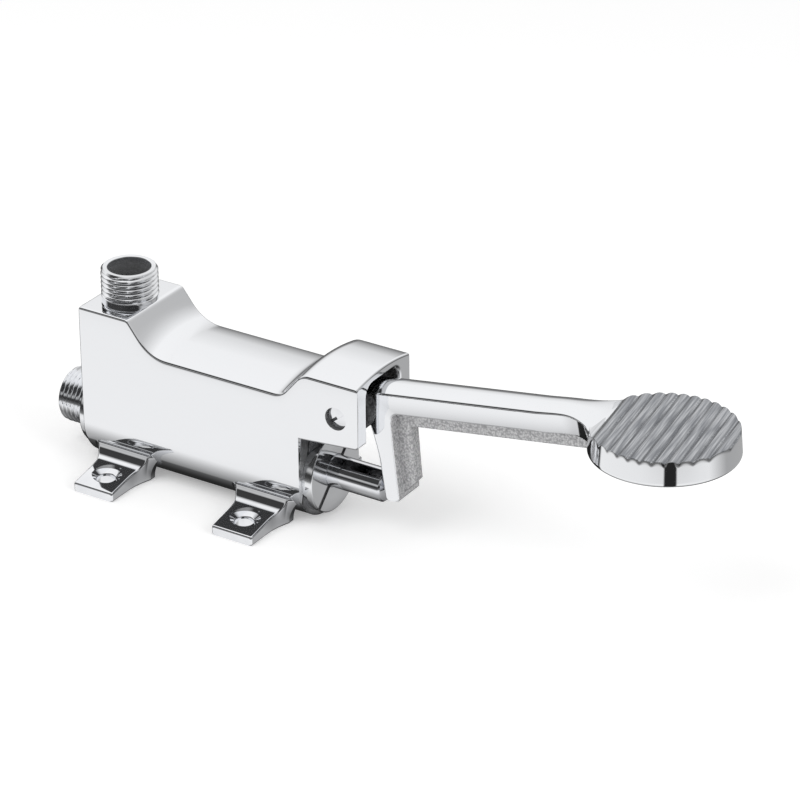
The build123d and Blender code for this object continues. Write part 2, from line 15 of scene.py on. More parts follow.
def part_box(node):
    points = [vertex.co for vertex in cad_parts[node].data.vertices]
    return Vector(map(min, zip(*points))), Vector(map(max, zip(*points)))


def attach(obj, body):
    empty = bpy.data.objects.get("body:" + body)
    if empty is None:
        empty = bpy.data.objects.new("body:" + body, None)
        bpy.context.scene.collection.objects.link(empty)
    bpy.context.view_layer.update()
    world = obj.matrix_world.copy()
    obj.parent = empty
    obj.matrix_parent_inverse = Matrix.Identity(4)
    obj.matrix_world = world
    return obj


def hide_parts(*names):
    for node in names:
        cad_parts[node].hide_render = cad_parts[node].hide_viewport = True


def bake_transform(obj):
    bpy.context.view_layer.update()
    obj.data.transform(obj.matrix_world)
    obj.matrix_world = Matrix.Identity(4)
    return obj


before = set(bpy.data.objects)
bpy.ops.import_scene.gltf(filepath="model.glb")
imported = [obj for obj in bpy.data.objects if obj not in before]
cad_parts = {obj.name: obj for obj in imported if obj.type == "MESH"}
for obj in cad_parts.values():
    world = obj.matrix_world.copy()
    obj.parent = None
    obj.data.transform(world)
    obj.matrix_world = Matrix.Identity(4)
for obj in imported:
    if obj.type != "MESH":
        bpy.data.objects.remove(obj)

log = logging.getLogger("foot_valve")

MM = 0.001
RAW = "raw"  # attribute: 0 where the skin is polished, 1 where it is left as cast; on the body, hub, gland and pipe ends it marks recesses that are painted dark as shade
PAST = 2.0  # how far a cutting shape or a construction line runs past the face it crosses
TOUCH = 0.02  # how close a point lies to a face to count as on it
CREASE = 32.0  # edges sharper than this many degrees stay sharp, where nothing else is said
COLUMNS = 96  # points in a turn, where nothing else is said
Array = np.ndarray
Level = float | Array
Pair = tuple[float, float]
Triple = tuple[float, float, float]
Colour = tuple[float, float, float, float]


# Shapes


class Line(Enum):
    """Axis that a turned piece is made about."""

    ALONG = "x"
    ACROSS = "y"
    UPRIGHT = "z"


@dataclass
class Surface:
    """A grid of points in millimetres, whose rows are rings, joined by four-sided faces."""

    points: Array
    ring_rows: bool = False
    capped: bool = False
    raw: Array | None = None


def bent_line(run: Array, knots: Sequence[tuple[Level, Level]], radii: Sequence[float]) -> Array:
    """Height of a line of straight runs whose corners are rounded by arcs.

    Each run is a straight line between two knots. Round a corner, the height is the centre's height less or
    plus the square root of the radius squared less the distance to the centre squared.

    Args:
        run: where along the line each point is.
        knots: the corners, each as a place along the line and a height.
        radii: radius of the arc at each inner corner.

    Returns:
        The height at each point.
    """
    slopes = [(h1 - h0) / (r1 - r0) for (r0, h0), (r1, h1) in zip(knots[:-1], knots[1:])]
    height = knots[0][1] + 0 * run
    for (start, level), slope in zip(knots[:-1], slopes):
        height = np.where(run >= start, level + slope * (run - start), height)
    for (corner, level), before, after, radius in zip(knots[1:-1], slopes[:-1], slopes[1:], radii):
        turn_in, turn_out = np.arctan(before), np.arctan(after)
        side = np.sign(turn_out - turn_in)
        reach = radius * np.tan(np.abs(turn_out - turn_in) / 2)
        start, stop = corner - reach * np.cos(turn_in), corner + reach * np.cos(turn_out)
        centre = start - side * radius * np.sin(turn_in)
        centre_level = level - reach * np.sin(turn_in) + side * radius * np.cos(turn_in)
        arc = centre_level - side * np.sqrt(np.maximum(radius**2 - (run - centre) ** 2, 0))
        height = np.where((run > start) & (run < stop), arc, height)
    return height


def steps(*spans: tuple[float, float, int]) -> Array:
    """Evenly spaced values over several spans laid end to end.

    Args:
        spans: start, end and number of steps of each span.

    Returns:
        The values, each span's last value left to the next span.
    """
    parts = [np.linspace(a, b, n, endpoint=False) for a, b, n in spans]
    return np.concatenate(parts + [np.array([spans[-1][1]])])


def eased(count: int) -> Array:
    """Values from 0 up to 1, itself left out, that crowd at both ends: half of one less a half turn's cosine."""
    return 0.5 - 0.5 * np.cos(np.linspace(0, pi, count, endpoint=False))


def quarter(count: int, closed: bool = True) -> tuple[Array, Array]:
    """Steps of a rounded edge, for angles from 0 to a right angle.

    Args:
        count: how many angles.
        closed: whether the last one is the right angle.

    Returns:
        One less the cosine, which grows from 0, and one less the sine, which falls to 0.
    """
    angle = np.linspace(0, pi / 2, count, endpoint=closed)
    return 1 - np.cos(angle), 1 - np.sin(angle)


def smooth(share: Array) -> Array:
    """Smooth step of a share: its square times three less twice the share."""
    return share**2 * (3 - 2 * share)


def grid_of(x: Level, y: Level, z: Level) -> Array:
    """Points of three coordinates, each spread over the whole grid."""
    return np.stack(np.broadcast_arrays(x, y, z), axis=-1)


def soften(mesh: bpy.types.Mesh, crease: float) -> None:
    """Shade a mesh smooth, apart from edges sharper than an angle.

    Args:
        mesh: the mesh.
        crease: the angle in degrees.
    """
    mesh.polygons.foreach_set("use_smooth", np.ones(len(mesh.polygons), bool))
    mesh.set_sharp_from_angle(angle=radians(crease))
    mesh.update()


def build(name: str, surface: Surface, crease: float = CREASE) -> bpy.types.Object:
    """Make an object of a grid, close its seams and poles, and turn its faces outwards.

    Args:
        name: name of the object.
        surface: the grid.
        crease: edges sharper than this many degrees stay sharp.

    Returns:
        The object, with its place in its mesh.
    """
    rows, columns = surface.points.shape[:2]
    index = np.arange(rows * columns).reshape(rows, columns)
    wide = np.hstack([index, index[:, :1]])
    wide = np.vstack([wide, wide[:1]]) if surface.ring_rows else wide
    quads = np.stack([wide[:-1, :-1], wide[:-1, 1:], wide[1:, 1:], wide[1:, :-1]], axis=-1)
    faces = quads.reshape(-1, 4).tolist()
    if surface.capped:
        faces += [index[0, ::-1].tolist(), index[-1].tolist()]
    mesh = bpy.data.meshes.new(name)
    mesh.from_pydata((surface.points.reshape(-1, 3) * MM).tolist(), [], faces)
    if surface.raw is not None:
        marks = np.broadcast_to(surface.raw, (rows, columns)).astype(np.float32).ravel()
        mesh.attributes.new(RAW, "FLOAT", "POINT").data.foreach_set("value", marks)
    shell = bmesh.new()
    shell.from_mesh(mesh)
    bmesh.ops.remove_doubles(shell, verts=shell.verts, dist=1e-6)
    bmesh.ops.recalc_face_normals(shell, faces=shell.faces)
    if shell.calc_volume(signed=True) < 0:
        bmesh.ops.reverse_faces(shell, faces=shell.faces)
    shell.to_mesh(mesh)
    shell.free()
    soften(mesh, crease)
    piece = bpy.data.objects.new(name, mesh)
    bpy.context.scene.collection.objects.link(piece)
    return piece


def carve(piece: bpy.types.Object, cutters: Sequence[bpy.types.Object], crease: float = CREASE) -> None:
    """Cut closed shapes out of a piece and drop them.

    Args:
        piece: the piece.
        cutters: the shapes to cut away.
        crease: edges sharper than this many degrees stay sharp.
    """
    for cutter in cutters:
        cut = piece.modifiers.new("cut", "BOOLEAN")
        cut.operation = "DIFFERENCE"
        cut.solver = "EXACT"
        cut.object = cutter
    graph = bpy.context.evaluated_depsgraph_get()
    carved = bpy.data.meshes.new_from_object(piece.evaluated_get(graph))
    piece.modifiers.clear()
    whole = piece.data
    piece.data = carved
    bpy.data.meshes.remove(whole)
    carved.name = piece.name
    soften(carved, crease)
    for cutter in cutters:
        shape = cutter.data
        bpy.data.objects.remove(cutter)
        bpy.data.meshes.remove(shape)


def mark(piece: bpy.types.Object, chosen: Callable[[Array, Array, Array], Array], level: float = 1.0) -> None:
    """Mark some of a piece's points as left raw, which on a dark finish paints them with shade.

    Args:
        piece: the piece.
        chosen: tells from the points' coordinates in millimetres which ones to mark.
        level: the mark they get.
    """
    mesh = piece.data
    spots = np.empty(len(mesh.vertices) * 3)
    mesh.vertices.foreach_get("co", spots)
    marks = np.empty(len(mesh.vertices), np.float32)
    mesh.attributes[RAW].data.foreach_get("value", marks)
    marks[chosen(*(spots.reshape(-1, 3) / MM).T)] = level
    mesh.attributes[RAW].data.foreach_set("value", marks)


def lathe(run: Array, radius: Array, line: Line, centre: Triple, columns: int) -> Array:
    """Points of a profile turned about an axis.

    A point at angle a is the axis point at its run, plus its radius times the cosine of a along one cross
    direction and times the sine of a along the other.

    Args:
        run: place of each profile point along the axis.
        radius: its radius, for each row or for each row and column.
        line: which way the axis points.
        centre: a point on the axis.
        columns: points in a turn.

    Returns:
        The grid of points.
    """
    angle = np.linspace(0, 2 * pi, columns, endpoint=False)[None, :]
    radius = radius[:, None] if radius.ndim == 1 else radius
    run, first, second = run[:, None], radius * np.cos(angle), radius * np.sin(angle)
    order = {
        Line.ALONG: (run, first, second),
        Line.ACROSS: (second, run, first),
        Line.UPRIGHT: (first, second, run),
    }[line]
    return grid_of(*order) + np.array(centre)


def outline(corners: Sequence[Triple], closed: bool = False, bend_steps: int = 6) -> Array:
    """A line through corners, each rounded by an arc.

    An arc's centre lies on the corner's bisector, at the rounding over the sine of half the corner. Its ends
    lie on the two runs, and its points are the two ends weighted by sines of their shares of the turn.

    Args:
        corners: run, radius from the axis and rounding of each corner.
        closed: whether the last corner joins the first.
        bend_steps: points on each rounded corner.

    Returns:
        Pairs of run and radius.
    """
    places = np.array([corner[:2] for corner in corners], float)
    points = []
    for i, (_, _, rounding) in enumerate(corners):
        here = places[i]
        if rounding == 0 or (not closed and i in (0, len(corners) - 1)):
            points.append(here[None])
            continue
        before, after = places[i - 1] - here, places[(i + 1) % len(corners)] - here
        before, after = before / np.linalg.norm(before), after / np.linalg.norm(after)
        half = np.arccos(np.clip(before @ after, -1, 1)) / 2
        centre = here + (before + after) / np.linalg.norm(before + after) * rounding / sin(half)
        start = here + before * rounding / tan(half) - centre
        stop = here + after * rounding / tan(half) - centre
        share = np.linspace(0, 1, bend_steps)[:, None]
        turn = np.arccos(np.clip(start @ stop / rounding**2, -1, 1))
        arc = (np.sin((1 - share) * turn) * start + np.sin(share * turn) * stop) / sin(turn)
        points.append(centre + arc)
    return np.vstack(points)


def stepped(*runs: Triple) -> Array:
    """Profile of a stepped bore, closed on the axis at both ends.

    Args:
        runs: start, end and radius of each straight part, one after the other.

    Returns:
        Pairs of run and radius.
    """
    corners = [(place, radius) for start, end, radius in runs for place in (start, end)]
    return np.array([(runs[0][0], 0.0), *corners, (runs[-1][1], 0.0)], float)


def turned(
    name: str,
    profile: Array,
    line: Line,
    centre: Triple,
    columns: int = COLUMNS,
    crease: float = CREASE,
    ring: bool = False,
    raw: float | None = None,
) -> bpy.types.Object:
    """Make an object by turning a profile about an axis.

    Args:
        name: name of the object.
        profile: pairs of run and radius.
        line: which way the axis points.
        centre: a point on the axis.
        columns: points in a turn.
        crease: edges sharper than this many degrees stay sharp.
        ring: whether the profile's end joins its start.
        raw: mark of all its points, if it has one.

    Returns:
        The object.
    """
    marks = None if raw is None else np.full((1, 1), raw)
    surface = Surface(lathe(profile[:, 0], profile[:, 1], line, centre, columns), ring_rows=ring, raw=marks)
    return build(name, surface, crease)


@dataclass(frozen=True)
class PipeThread:
    """A pipe thread with rounded crests and roots."""

    pitch: float = 1.814
    depth: float = 1.0

    def cut(self, run: Array, columns: int) -> Array:
        """Depth of the groove under the crests, which winds once round in one pitch.

        The share of a turn is the run over the pitch less the angle over a full turn. The groove is a mean of
        a straight-flanked wave and a cosine wave of that share.

        Args:
            run: place along the axis.
            columns: points in a turn.

        Returns:
            The depth at each row and column.
        """
        turn = run[:, None] / self.pitch - np.arange(columns)[None, :] / columns
        flank = 1 - np.abs(2 * (turn % 1) - 1)
        wave = 0.5 - 0.5 * np.cos(2 * pi * turn)
        return self.depth * (0.45 * flank + 0.55 * wave)


def bar(name: str, low: Triple, high: Triple, turn: Matrix, centre: Triple) -> bpy.types.Object:
    """A cutting bar: a ring of four corners carried from one end to the other.

    Args:
        name: name of the object.
        low: lowest corner before it is turned.
        high: highest corner.
        turn: rotation about the bar's own origin.
        centre: where that origin goes.

    Returns:
        The shape to cut away.
    """
    around = [(low[1], low[2]), (high[1], low[2]), (high[1], high[2]), (low[1], high[2])]
    ends = np.array([[(x, y, z) for y, z in around] for x in (low[0], high[0])], float)
    return build(name, Surface(ends @ np.array(turn).T + np.array(centre), capped=True))


# Finishes


class Graph:
    """A node tree under construction."""

    def __init__(self, tree: bpy.types.NodeTree) -> None:
        """Start with an empty tree."""
        self.tree = tree
        tree.nodes.clear()

    def add(self, kind: str, settings: dict[str, Any] | None = None, **inputs: Any) -> bpy.types.Node:
        """Add a node, set its options, and set or link its inputs.

        Args:
            kind: type of the node.
            settings: options of the node itself.
            inputs: values or sockets by input name, with _ for a space, or by number after a leading n.

        Returns:
            The node.
        """
        node = self.tree.nodes.new(kind)
        for option, value in (settings or {}).items():
            setattr(node, option, value)
        for name, value in inputs.items():
            numbered = name[0] == "n" and name[1:].isdigit()
            self.put(node.inputs[int(name[1:])] if numbered else node.inputs[name.replace("_", " ")], value)
        return node

    def put(self, socket: bpy.types.NodeSocket, value: Any) -> None:
        """Link a socket to an output, or set its value.

        Args:
            socket: the input.
            value: an output's socket, or a value.
        """
        if isinstance(value, bpy.types.NodeSocket):
            self.tree.links.new(value, socket)
        else:
            socket.default_value = value

    def math(self, operation: str, first: Any, second: Any = 0.0) -> Any:
        """Output of a Math node with two inputs."""
        return self.add("ShaderNodeMath", {"operation": operation}, n0=first, n1=second).outputs[0]

    def product(self, *values: Any) -> Any:
        """Multiply values by Math nodes.

        Args:
            values: sockets or numbers.

        Returns:
            The output that holds their product.
        """
        whole = values[0]
        for value in values[1:]:
            whole = self.math("MULTIPLY", whole, value)
        return whole

    def rise(self, value: Any, start: float, stop: float) -> Any:
        """Share that is 0 up to start and 1 from stop on."""
        return self.spread(value, 0.0, 1.0, start, stop)

    def fall(self, value: Any, start: float, stop: float) -> Any:
        """Share that is 1 up to start and 0 from stop on."""
        return self.spread(value, 1.0, 0.0, start, stop)

    def bump(self, height: Any, depth: float, **under: Any) -> Any:
        """Normal of a Bump node whose full height is a depth in millimetres."""
        return self.add("ShaderNodeBump", Strength=1.0, Distance=depth * MM, Height=height, **under).outputs[0]

    def coat(self, colour: Any, metallic: Any, roughness: Any, normal: Any) -> None:
        """Join a Principled surface to the material's output."""
        inputs = {"Base Color": colour, "Metallic": metallic, "Roughness": roughness, "Normal": normal}
        self.show(self.add("ShaderNodeBsdfPrincipled", **inputs))

    def show(self, shader: bpy.types.Node) -> None:
        """Join a shader to the material's output."""
        self.add("ShaderNodeOutputMaterial", Surface=shader.outputs[0])

    def spread(self, value: Any, low: Any, high: Any, start: float = 0.0, stop: float = 1.0) -> Any:
        """Output of a Map Range node that takes start and stop to low and high."""
        ends = {"From_Min": start, "From_Max": stop, "To_Min": low, "To_Max": high}
        return self.add("ShaderNodeMapRange", Value=value, **ends).outputs["Result"]

    def blend(self, share: Any, first: Any, second: Any) -> Any:
        """Output of a mix of two colours, whose sockets are the Mix node's seventh and eighth."""
        return self.add("ShaderNodeMix", {"data_type": "RGBA"}, Factor=share, n6=first, n7=second).outputs[2]


def new_group(name: str, scale: float) -> tuple[Graph, Any, Any]:
    """Start a shader node group that makes a mask and a height of a place.

    Args:
        name: name of the group.
        scale: usual scale of its pattern.

    Returns:
        The graph, and the sockets of its place and scale.
    """
    tree = bpy.data.node_groups.new(name, "ShaderNodeTree")
    tree.interface.new_socket("Place", in_out="INPUT", socket_type="NodeSocketVector")
    tree.interface.new_socket("Scale", in_out="INPUT", socket_type="NodeSocketFloat").default_value = scale
    for label in ("Mask", "Height"):
        tree.interface.new_socket(label, in_out="OUTPUT", socket_type="NodeSocketFloat")
    graph = Graph(tree)
    source = graph.add("NodeGroupInput").outputs
    return graph, source["Place"], source["Scale"]


def smear_group() -> bpy.types.NodeTree:
    """Faint wiped streaks of a polished skin: a broad noise times a fine stretched one.

    Returns:
        The node group, with a mask and a height.
    """
    graph, place, scale = new_group("wiped polish", 60.0)
    broad = graph.add("ShaderNodeTexNoise", Vector=place, Scale=scale, Detail=0.0).outputs["Fac"]
    pulled = graph.add("ShaderNodeMapping", Vector=place, Scale=(1.0, 0.35, 1.0), Rotation=(0.4, 0.2, 0.5))
    fine_scale = graph.product(scale, 9.0)
    fine = graph.add("ShaderNodeTexNoise", Vector=pulled.outputs[0], Scale=fine_scale, Detail=3.0)
    mask = graph.rise(graph.product(broad, fine.outputs["Fac"]), 0.15, 0.4)
    graph.add("NodeGroupOutput", Mask=mask, Height=broad)
    return graph.tree


def grain_group() -> bpy.types.NodeTree:
    """Sand-cast grain: rounded pits and lumps, plus a finer noise between them.

    Returns:
        The node group, with a mask and a height.
    """
    graph, place, scale = new_group("sand grain", 1500.0)
    rounded = {"feature": "SMOOTH_F1"}
    lumps = graph.add("ShaderNodeTexVoronoi", rounded, Vector=place, Scale=scale, Smoothness=0.6)
    fine_scale = graph.product(scale, 1.7)
    sand = graph.add("ShaderNodeTexNoise", Vector=place, Scale=fine_scale, Detail=4.0, Roughness=0.7)
    lump = graph.product(graph.fall(lumps.outputs["Distance"], 0.1, 0.75), 0.6)
    height = graph.math("ADD", lump, graph.product(sand.outputs["Fac"], 0.7))
    graph.add("NodeGroupOutput", Mask=graph.rise(height, 0.35, 0.95), Height=height)
    return graph.tree


class Effects:
    """The shader node groups that the finishes share, each built once."""

    def __init__(self) -> None:
        """Build the groups."""
        self.smear = smear_group()
        self.grain = grain_group()

    def use(self, graph: Graph, tree: bpy.types.NodeTree, place: Any, scale: float) -> tuple[Any, Any]:
        """Place a group in a material's graph.

        Args:
            graph: the material's graph.
            tree: the group.
            place: socket of the coordinates.
            scale: scale of its pattern.

        Returns:
            The group's mask and height.
        """
        node = graph.add("ShaderNodeGroup", {"node_tree": tree}, Place=place, Scale=scale)
        return node.outputs["Mask"], node.outputs["Height"]


def new_material(name: str) -> tuple[bpy.types.Material, Graph, Any]:
    """Start a material.

    Args:
        name: name of the material.

    Returns:
        The material, its graph, and the socket of its object coordinates.
    """
    material = bpy.data.materials.new(name)
    material.use_nodes = True
    graph = Graph(material.node_tree)
    return material, graph, graph.add("ShaderNodeTexCoord").outputs["Object"]


@dataclass(frozen=True)
class Polished:
    """Bright plated skin, wiped and very slightly uneven."""

    name: str
    colour: Colour = (0.90, 0.91, 0.93, 1.0)
    dull: Colour = (0.82, 0.83, 0.86, 1.0)
    roughness: Pair = (0.035, 0.075)  # where bright and where wiped dull
    wave: float = 0.01
    scale: float = 22.0

    def make(self, effects: Effects) -> bpy.types.Material:
        """Mix the material: wiped streaks change colour and roughness, and a broad wave bends reflections.

        Args:
            effects: the shared node groups.

        Returns:
            The material.
        """
        material, graph, place = new_material(self.name)
        mask, height = effects.use(graph, effects.smear, place, self.scale)
        colour = graph.blend(mask, self.colour, self.dull)
        graph.coat(colour, 1.0, graph.spread(mask, *self.roughness), graph.bump(height, self.wave))
        return material


@dataclass(frozen=True)
class PartPolished:
    """Plated casting that is polished outside and left sandy where the raw attribute is 1, or painted dark as
    shade there where its cast colour is dark.
    """

    name: str
    polish: Colour = (0.90, 0.91, 0.93, 1.0)
    cast: Colour = (0.88, 0.88, 0.89, 1.0)
    pit: Colour = (0.42, 0.42, 0.43, 1.0)
    roughness: Pair = (0.04, 0.22)  # of the polish and of the cast skin
    grain: float = 0.13
    scale: float = 1300.0
    wave: float = 0.06
    wave_scale: float = 22.0
    stretch: Triple = (1.0, 1.0, 1.0)  # of the grain along each axis
    turn: float = 0.0
    metal: float = 0.45  # how metallic the cast skin is

    def make(self, effects: Effects) -> bpy.types.Material:
        """Mix the material: the raw attribute shares polish and grain out over the skin.

        Args:
            effects: the shared node groups.

        Returns:
            The material.
        """
        material, graph, place = new_material(self.name)
        raw = graph.add("ShaderNodeAttribute", {"attribute_name": RAW}).outputs["Fac"]
        smear, wave = effects.use(graph, effects.smear, place, self.wave_scale)
        turn, texture = (0.0, 0.0, self.turn), {"vector_type": "TEXTURE"}
        turned_place = graph.add("ShaderNodeMapping", texture, Vector=place, Rotation=turn, Scale=self.stretch)
        grain, relief = effects.use(graph, effects.grain, turned_place.outputs[0], self.scale)
        bright, rough = self.roughness
        graph.coat(
            graph.blend(raw, self.polish, graph.blend(grain, self.pit, self.cast)),
            1.0 if self.metal == 1 else graph.spread(raw, 1.0, self.metal),
            graph.spread(raw, graph.spread(smear, bright, bright * 2), rough),
            graph.bump(graph.product(relief, raw), self.grain, Normal=graph.bump(wave, self.wave)),
        )
        return material


@dataclass(frozen=True)
class Worked:
    """Plain worked material with a fine grain: brass, steel, rubber or plastic."""

    name: str
    colour: Colour
    shade: Colour
    metallic: float = 0.0
    roughness: Pair = (0.3, 0.45)
    grain: float = 0.02
    scale: float = 900.0

    def make(self, effects: Effects) -> bpy.types.Material:
        """Mix the material: a fine grain changes its colour, roughness and height.

        Args:
            effects: the shared node groups.

        Returns:
            The material.
        """
        material, graph, place = new_material(self.name)
        mask, height = effects.use(graph, effects.grain, place, self.scale)
        colour = graph.blend(mask, self.shade, self.colour)
        roughness = graph.spread(mask, self.roughness[1], self.roughness[0])
        graph.coat(colour, self.metallic, roughness, graph.bump(height, self.grain))
        return material


class Finish(Enum):
    """Every finish of the valve."""

    CHROME = Polished("chrome plate")
    # the body's near-black cast colour paints shade in the lever's slot, under the hood, on the pivot holes'
    # walls and on the lever's hub
    BODY = PartPolished(
        "body casting",
        cast=(0.13, 0.13, 0.135, 1.0),
        pit=(0.03, 0.03, 0.032, 1.0),
        roughness=(0.035, 0.42),
        grain=0.2,
        scale=900.0,
        wave=0.3,
        wave_scale=14.0,
    )
    # near-black cast colour: the pipe ends' bores and the gland's slot floor, left unplated and painted dark as
    # shade
    BORED = PartPolished(
        "bored chrome",
        cast=(0.10, 0.10, 0.10, 1.0),
        pit=(0.03, 0.03, 0.03, 1.0),
        roughness=(0.06, 0.4),
        grain=0.05,
        scale=900.0,
        wave=0.01,
    )
    TURNED = Polished("turned chrome", roughness=(0.06, 0.12), wave=0.008, scale=160.0)
    LEVER = PartPolished("lever casting")
    PAD = PartPolished(
        "ridged pad",
        cast=(0.57, 0.58, 0.60, 1.0),
        pit=(0.24, 0.25, 0.27, 1.0),
        roughness=(0.04, 0.13),
        grain=0.05,
        scale=1500.0,
        stretch=(1.0, 20.0, 1.0),
        turn=radians(9.0),
        metal=1.0,
    )
    BRASS = Worked("brass", (0.80, 0.62, 0.32, 1.0), (0.66, 0.49, 0.23, 1.0), 1.0, (0.22, 0.34))
    STEEL = Worked("spring steel", (0.62, 0.62, 0.63, 1.0), (0.5, 0.5, 0.51, 1.0), 1.0, (0.25, 0.38))
    RUBBER = Worked("seal rubber", (0.035, 0.035, 0.038, 1.0), (0.02, 0.02, 0.022, 1.0), 0.0, (0.45, 0.6))
    PLASTIC = Worked("bearing plastic", (0.84, 0.83, 0.78, 1.0), (0.78, 0.76, 0.7, 1.0), 0.0, (0.35, 0.5))


class Finisher:
    """Makes each finish's material once and puts it on pieces."""

    def __init__(self) -> None:
        """Build the shared effects."""
        self.effects = Effects()
        self.made: dict[Finish, bpy.types.Material] = {}

    def material(self, finish: Finish) -> bpy.types.Material:
        """Look a finish up, and make its material at its first use.

        Args:
            finish: the finish.

        Returns:
            Its material.
        """
        if finish not in self.made:
            self.made[finish] = finish.value.make(self.effects)
        return self.made[finish]

    def cover(self, piece: bpy.types.Object, finish: Finish) -> None:
        """Give a piece its finish and report it.

        Args:
            piece: the piece.
            finish: its finish.
        """
        piece.data.materials.clear()
        piece.data.materials.append(self.material(finish))
        log.info("%s: %d faces, %s", piece.name, len(piece.data.polygons), finish.value.name)

    def dress(
        self, piece: bpy.types.Object, finish: Finish, body: str, replaced: Sequence[str] = ()
    ) -> None:
        """Give a piece its finish and say what it rides on and stands for.

        Args:
            piece: the piece.
            finish: its finish.
            body: CAD body that carries it.
            replaced: CAD nodes that it stands for.
        """
        self.cover(piece, finish)
        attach(piece, body)
        if replaced:
            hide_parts(*replaced)


# Body


@dataclass(frozen=True)
class Valve:
    """Sizes that several sub-assemblies share."""

    half: float = 17.5  # half width of the body, and radius of its round underside
    axis: Triple = (0.0, 0.0, 17.5)  # a point on the axis of the bore and the rod
    rear_x: float = -47.6
    front_x: float = 46.9
    tower_z: float = 64.0
    outlet_x: float = -36.9
    pivot: Triple = (62.7, 0.0, 49.0)  # a point on the pivot screw's axis


VALVE = Valve()


@dataclass
class BodyCasting:
    """The valve's body: tower, crowned deck and hood in one skin, with its bores."""

    tower_front_x: float = -26.2
    tower_slope: float = 37.8  # degrees
    deck_z: float = 51.8
    crown: float = 2.1
    hood_rear_x: float = 48.6
    hood_slope: float = 40.0  # degrees
    hood_z: float = 62.1
    hood_front_x: float = 71.4
    hood_low: Pair = (36.6, 38.9)  # height of the hood's underside at its rear and its front
    slot_rear_x: float = 51.9
    slot_half: float = 10.6
    slot_z: float = 60.6
    slot_corner: float = 5.0
    slot_flare: float = 1.2
    slot_flare_run: float = 2.2
    edge: float = 0.8
    roll: float = 0.12  # how far the sides draw in to the top
    bends: tuple[float, ...] = (2.0, 16.0, 8.0, 6.0)  # radii of the top's corners, from the tower to the hood
    cap_inset: float = 0.4  # how far an end face's last row lies inside the face's rounded edge
    tower_close: Pair = (2.0, 3.0)  # close sections start before the tower's front edge and stop after it
    slope_close: Pair = (-14.0, 6.0)  # close sections on the slope down to the deck
    hood_close: float = 34.0  # close sections from here to the hood
    painted_shade_start: Pair = (0.7, 0.6)  # how far behind the hood's front the painted shade in its slot starts, and over what run it grows dull and dark
    # mark of the painted shade on the pivot holes' walls
    bored_painted_shade: float = 0.75
    bore_r: float = 12.0  # spring chamber, and seat of the gland plug
    chamber_r: float = 10.0
    recess: Triple = (12.65, 13.25, 1.25)  # O-ring recesses: rear and front radius, and depth
    web_x: Pair = (-14.9, -10.9)  # rear and front of the web that holds the seat
    web_r: float = 9.05
    gland_x: float = 28.9
    socket: Pair = (54.95, 8.38)  # foot and radius
    riser_x: float = -4.5  # where the riser leaves the front chamber
    riser_z: Pair = (39.8, 56.0)
    riser_r: Pair = (6.0, 7.0)  # radius of the way and of its bends
    counts: dict[str, int] = field(
        default_factory=lambda: {"mid": 12, "wall": 16, "foot": 8, "turn": 8, "side": 18, "edge": 9, "top": 24}
    )

    def top(self, x: Array, share: Array) -> Array:
        """Height of the top: tower, slope, deck, slope and hood as straight runs with rounded corners.

        Args:
            x: place along the valve.
            share: 1 on the middle plane and 0 at the sides, which sets how much of the crown is added.

        Returns:
            The height.
        """
        deck = self.deck_z + self.crown * share
        hood = self.hood_z + self.crown * share
        knots = [
            (VALVE.rear_x - PAST, VALVE.tower_z + 0 * share),
            (self.tower_front_x, VALVE.tower_z),
            (self.tower_front_x + (VALVE.tower_z - deck) * tan(radians(self.tower_slope)), deck),
            (self.hood_rear_x - (hood - deck) * tan(radians(self.hood_slope)), deck),
            (self.hood_rear_x, hood),
            (self.hood_front_x + PAST, hood),
        ]
        return bent_line(x + 0 * share, knots, self.bends)

    def low(self, x: Level) -> Level:
        """Height of the hood's underside: a straight line from its rear to its front."""
        rise = (self.hood_low[1] - self.hood_low[0]) / (self.hood_front_x - VALVE.front_x)
        return self.hood_low[0] + rise * (x - VALVE.front_x)

    def upper(self, x: Array, inset: Array) -> tuple[Array, Array]:
        """Side, rounded edge and crowned top of one half of the section.

        The edge is a quarter circle hung under the crowned top; the crown is one less the square of the
        distance from the middle over the half width. Below the edge, the side draws in by the roll times the
        twelfth power of its share.

        Args:
            x: stations, one row each.
            inset: how far each station is drawn in.

        Returns:
            Distances from the middle plane and heights.
        """
        half = VALVE.half - inset - self.roll
        early, late = quarter(self.counts["edge"])
        inward = (half - self.edge) * np.linspace(1, 0, self.counts["top"] + 1)[1:]
        y = np.hstack([half - self.edge * early, inward])
        drop = np.hstack([self.edge * late + 0 * x, 0 * inward])
        z = self.top(x, 1 - (y / VALVE.half) ** 2) - drop - inset
        foot = self.low(np.maximum(x, VALVE.front_x)) + self.edge + inset * (x > VALVE.front_x)
        share = eased(self.counts["side"])
        side_z = foot + (z[:, :1] - foot) * share
        side_y = half + self.roll * (1 - share**12)
        return np.hstack([side_y + 0 * side_z, y]), np.hstack([side_z, z])

    def closed_part(self, x: Array, inset: Array) -> Array:
        """Half sections with the round underside.

        Args:
            x: stations.
            inset: how far each is drawn in.

        Returns:
            Grid of half sections.
        """
        early, late = quarter(self.under(), closed=False)
        radius = VALVE.half - inset
        foot = self.low(VALVE.front_x) + self.edge
        wall_z = np.linspace(VALVE.axis[2], foot, self.counts["turn"], endpoint=False) + 0 * x
        y, z = self.upper(x, inset)
        all_y = np.hstack([radius * (1 - late), radius + 0 * wall_z, y])
        return grid_of(x, all_y, np.hstack([VALVE.axis[2] - radius * (1 - early), wall_z, z]))

